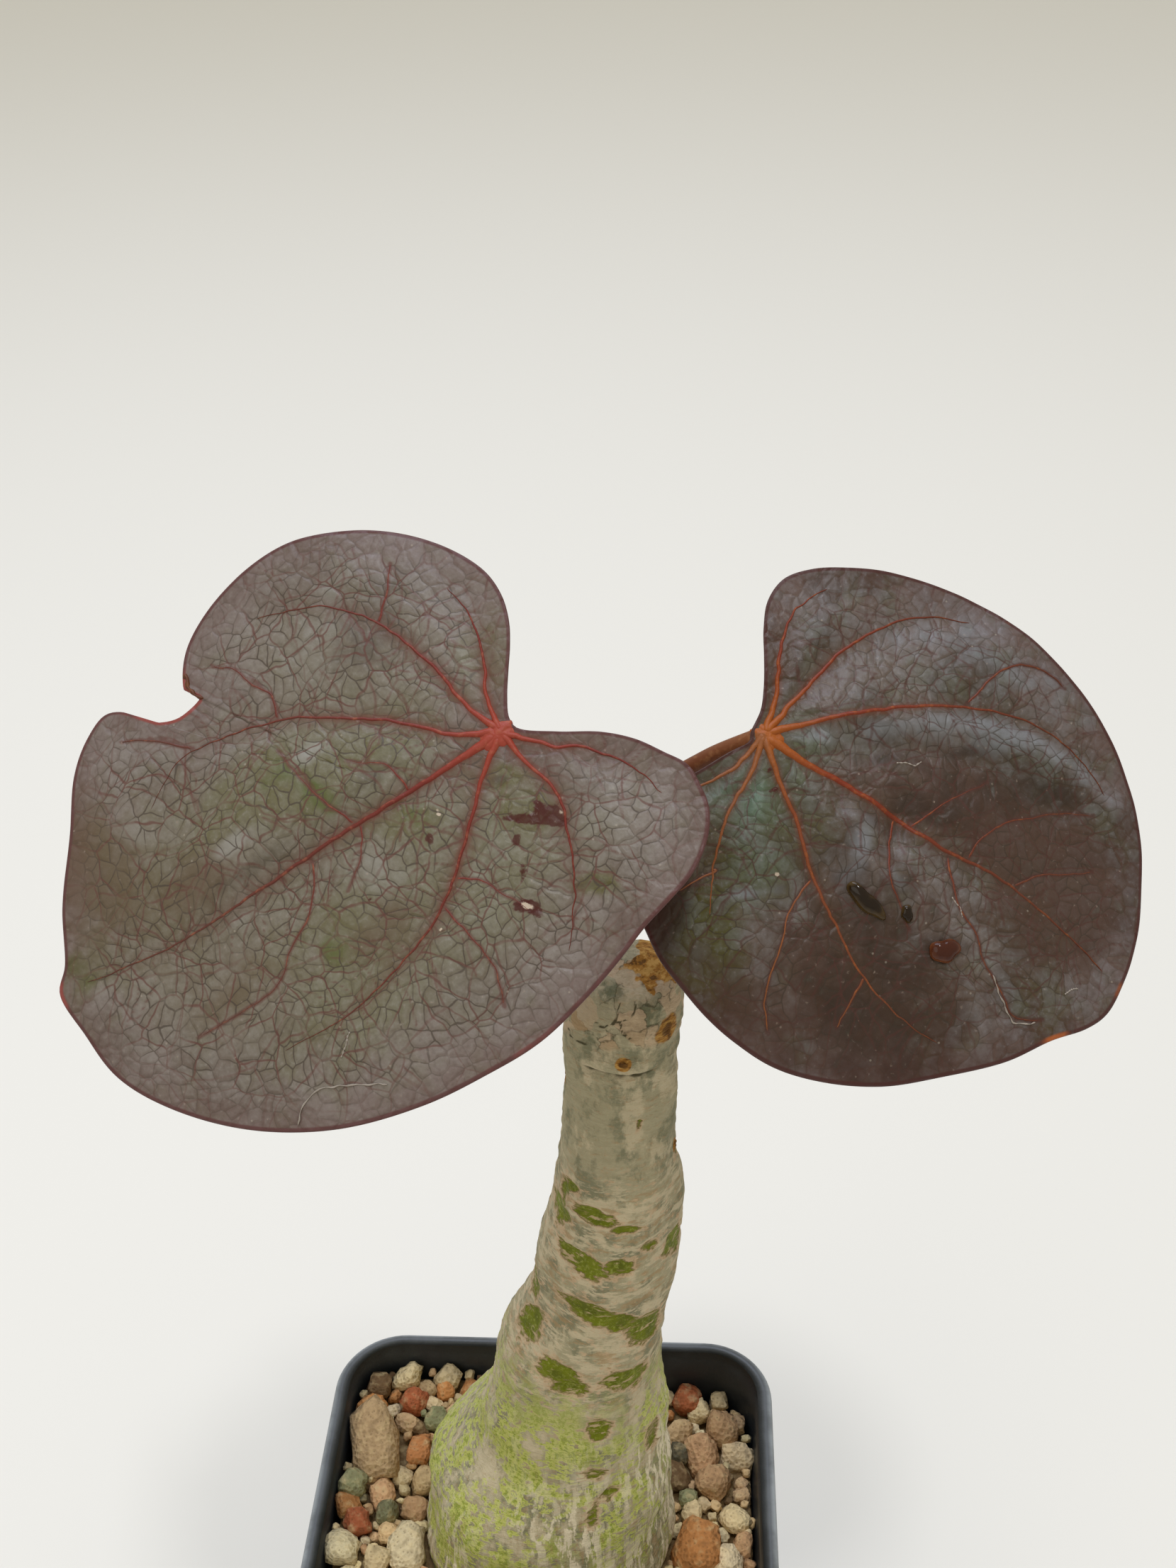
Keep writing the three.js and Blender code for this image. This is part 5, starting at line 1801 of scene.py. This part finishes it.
STEM = Stem(
    profile=(
        (44, 0.8, 4), (45.5, 0.8, 14), (49, 0.8, 25), (56, 0.8, 34), (66, 0.6, 39.4), (78, 0.7, 39), (87, 1.3, 37),
        (93, 3.1, 33), (99, 5.3, 28.6), (107, 6.1, 26.6), (118, 7.3, 23.2), (124.5, 9, 21.4), (129.5, 10.5, 20),
        (141, 11.7, 19.6), (150, 12.6, 17.4), (160, 12.9, 15.5), (171, 13.5, 14.4), (179, 13.6, 14.8),
        (184, 14.2, 14.4), (187.5, 14.9, 12.6), (189.8, 15.6, 9.4), (191, 16, 4),
    ),
    scars=(
        (183.6, -44, 1.7), (179.4, -86, 0.85), (171.5, -172, 1.1), (159, -8, 0.9), (152, 70, 1.5), (163, 130, 1.4),
    ),
    windows=(
        (156, -42, 1.2, 1.8, 0.8), (149.5, -60, 2.4, 3.2, 0.85), (152, -20, 1.5, 3.4, 1.0), (150, 10, 1.0, 2.6, 0.9),
        (143.5, -26, 2.2, 4.4, 1.0), (144, 8, 1.5, 2.4, 0.9), (145.5, 38, 1.2, 2.2, 0.7), (143, 70, 3.2, 3.0, 0.9),
        (134.2, -6, 2.6, 4.4, 1.0), (132.4, 14, 2.0, 2.2, 0.9), (129, 42, 2.6, 3.6, 1.0), (131, -82, 3.0, 3.0, 0.9),
        (125, -66, 3.6, 3.0, 0.8), (121.5, -22, 2.0, 3.4, 0.9), (119.5, -8, 1.8, 2.4, 0.9), (120, 34, 2.2, 3.8, 1.0),
        (111, 16, 2.2, 1.8, 0.8), (102, 16, 1.8, 2.2, 0.6), (103.5, 58, 4.0, 1.8, 0.6), (93.5, 20, 2.4, 1.8, 0.6),
        (97, 30, 2.2, 1.8, 0.6), (168, 22, 1.6, 0.5, 0.5), (153, -56, 3.4, 1.4, 0.7),
        (140, 120, 2.4, 4.0, 1.0), (150, 160, 2.0, 4.0, 0.9), (128, 150, 2.6, 4.4, 1.0), (133, -140, 2.4, 4.6, 1.0),
        (146, -120, 1.8, 3.6, 0.9), (118, -160, 2.4, 4.4, 0.9), (157, 100, 1.4, 2.6, 0.8), (110, 110, 2.4, 3.2, 0.7),
    ),
    cracks=(
        ((-34, 184.9), (-22, 185.0), (-12, 186.0), (2, 186.4)),
        ((-9, 186.0), (-2, 184.6), (6, 184.0)),
        ((-16, 188.6), (-13, 187.2), (-14, 186.0)),
        ((2, 188.8), (6, 187.6), (3, 186.4)),
        ((-64, 182.0), (-50, 181.2), (-38, 181.4)),
    ),
)

SUBSTRATE = Substrate(
    pot=Pot(),
    stones=(
        (-29.7, 17.6, 8.7, 15, "beige"), (-32.5, 10, 5, 5.4, "moss"), (-32.5, 6.2, 4.6, 4.8, "orange"),
        (-32.3, -1.5, 6.4, 7, "pale"), (-30.5, 3.2, 4.6, 5, "brick"), (-26.4, -3.1, 4.6, 5, "cream"),
        (-21.9, -0.7, 6.4, 9.2, "pale"), (-22.3, 17.7, 4.1, 7, "orange"), (-20.2, 11.8, 5.2, 5.6, "beige"),
        (-25.9, 5.4, 4.1, 4.4, "moss"), (-25.4, 2, 3.5, 3.8, "beige"), (-24.3, 27.1, 4.6, 5, "brick"),
        (-20, 24.1, 4.1, 4.6, "moss"), (-19.3, 29.9, 3.5, 4, "orange"), (-26.1, 32.0, 5.2, 5.6, "cream"),
        (-18.9, 32.4, 4.8, 5.2, "cream"), (-30.7, 29.8, 4.6, 5, "umber"), (23.4, 32.0, 5.4, 6, "brick"),
        (28.7, 32.2, 3.5, 4, "cream"), (25.6, 21.2, 5.8, 8, "pink"), (29.2, 26.3, 6.2, 6.6, "pink"),
        (27.4, 16.1, 6.2, 6.6, "pink"), (23.5, 12.4, 3.5, 3.8, "moss"), (24.8, 3.5, 8, 10.4, "orange"),
        (29.9, 1.7, 5.5, 5.8, "pale"), (21.8, 21.4, 3.5, 3.8, "dark"), (31.8, 28, 3.5, 4, "beige"),
        (25.1, 30.0, 4.1, 4.4, "cream"), (24, 10.2, 3.8, 5.2, "cream"),
    ),
)


def main() -> None:
    """Builds every part in order and reports each piece."""
    logging.basicConfig(level=logging.INFO, format="%(message)s")
    Studio().build()
    pieces = [SUBSTRATE.pot.build(), SUBSTRATE.build_bed(), SUBSTRATE.build_grains(), STEM.build()]
    pieces += LEFT_LEAF.build() + RIGHT_LEAF.build() + DROPS.build()
    for piece in pieces:
        piece.data.calc_loop_triangles()
        LOG.info("%s: %d triangles", piece.name, len(piece.data.loop_triangles))


if __name__ == "__main__":
    main()
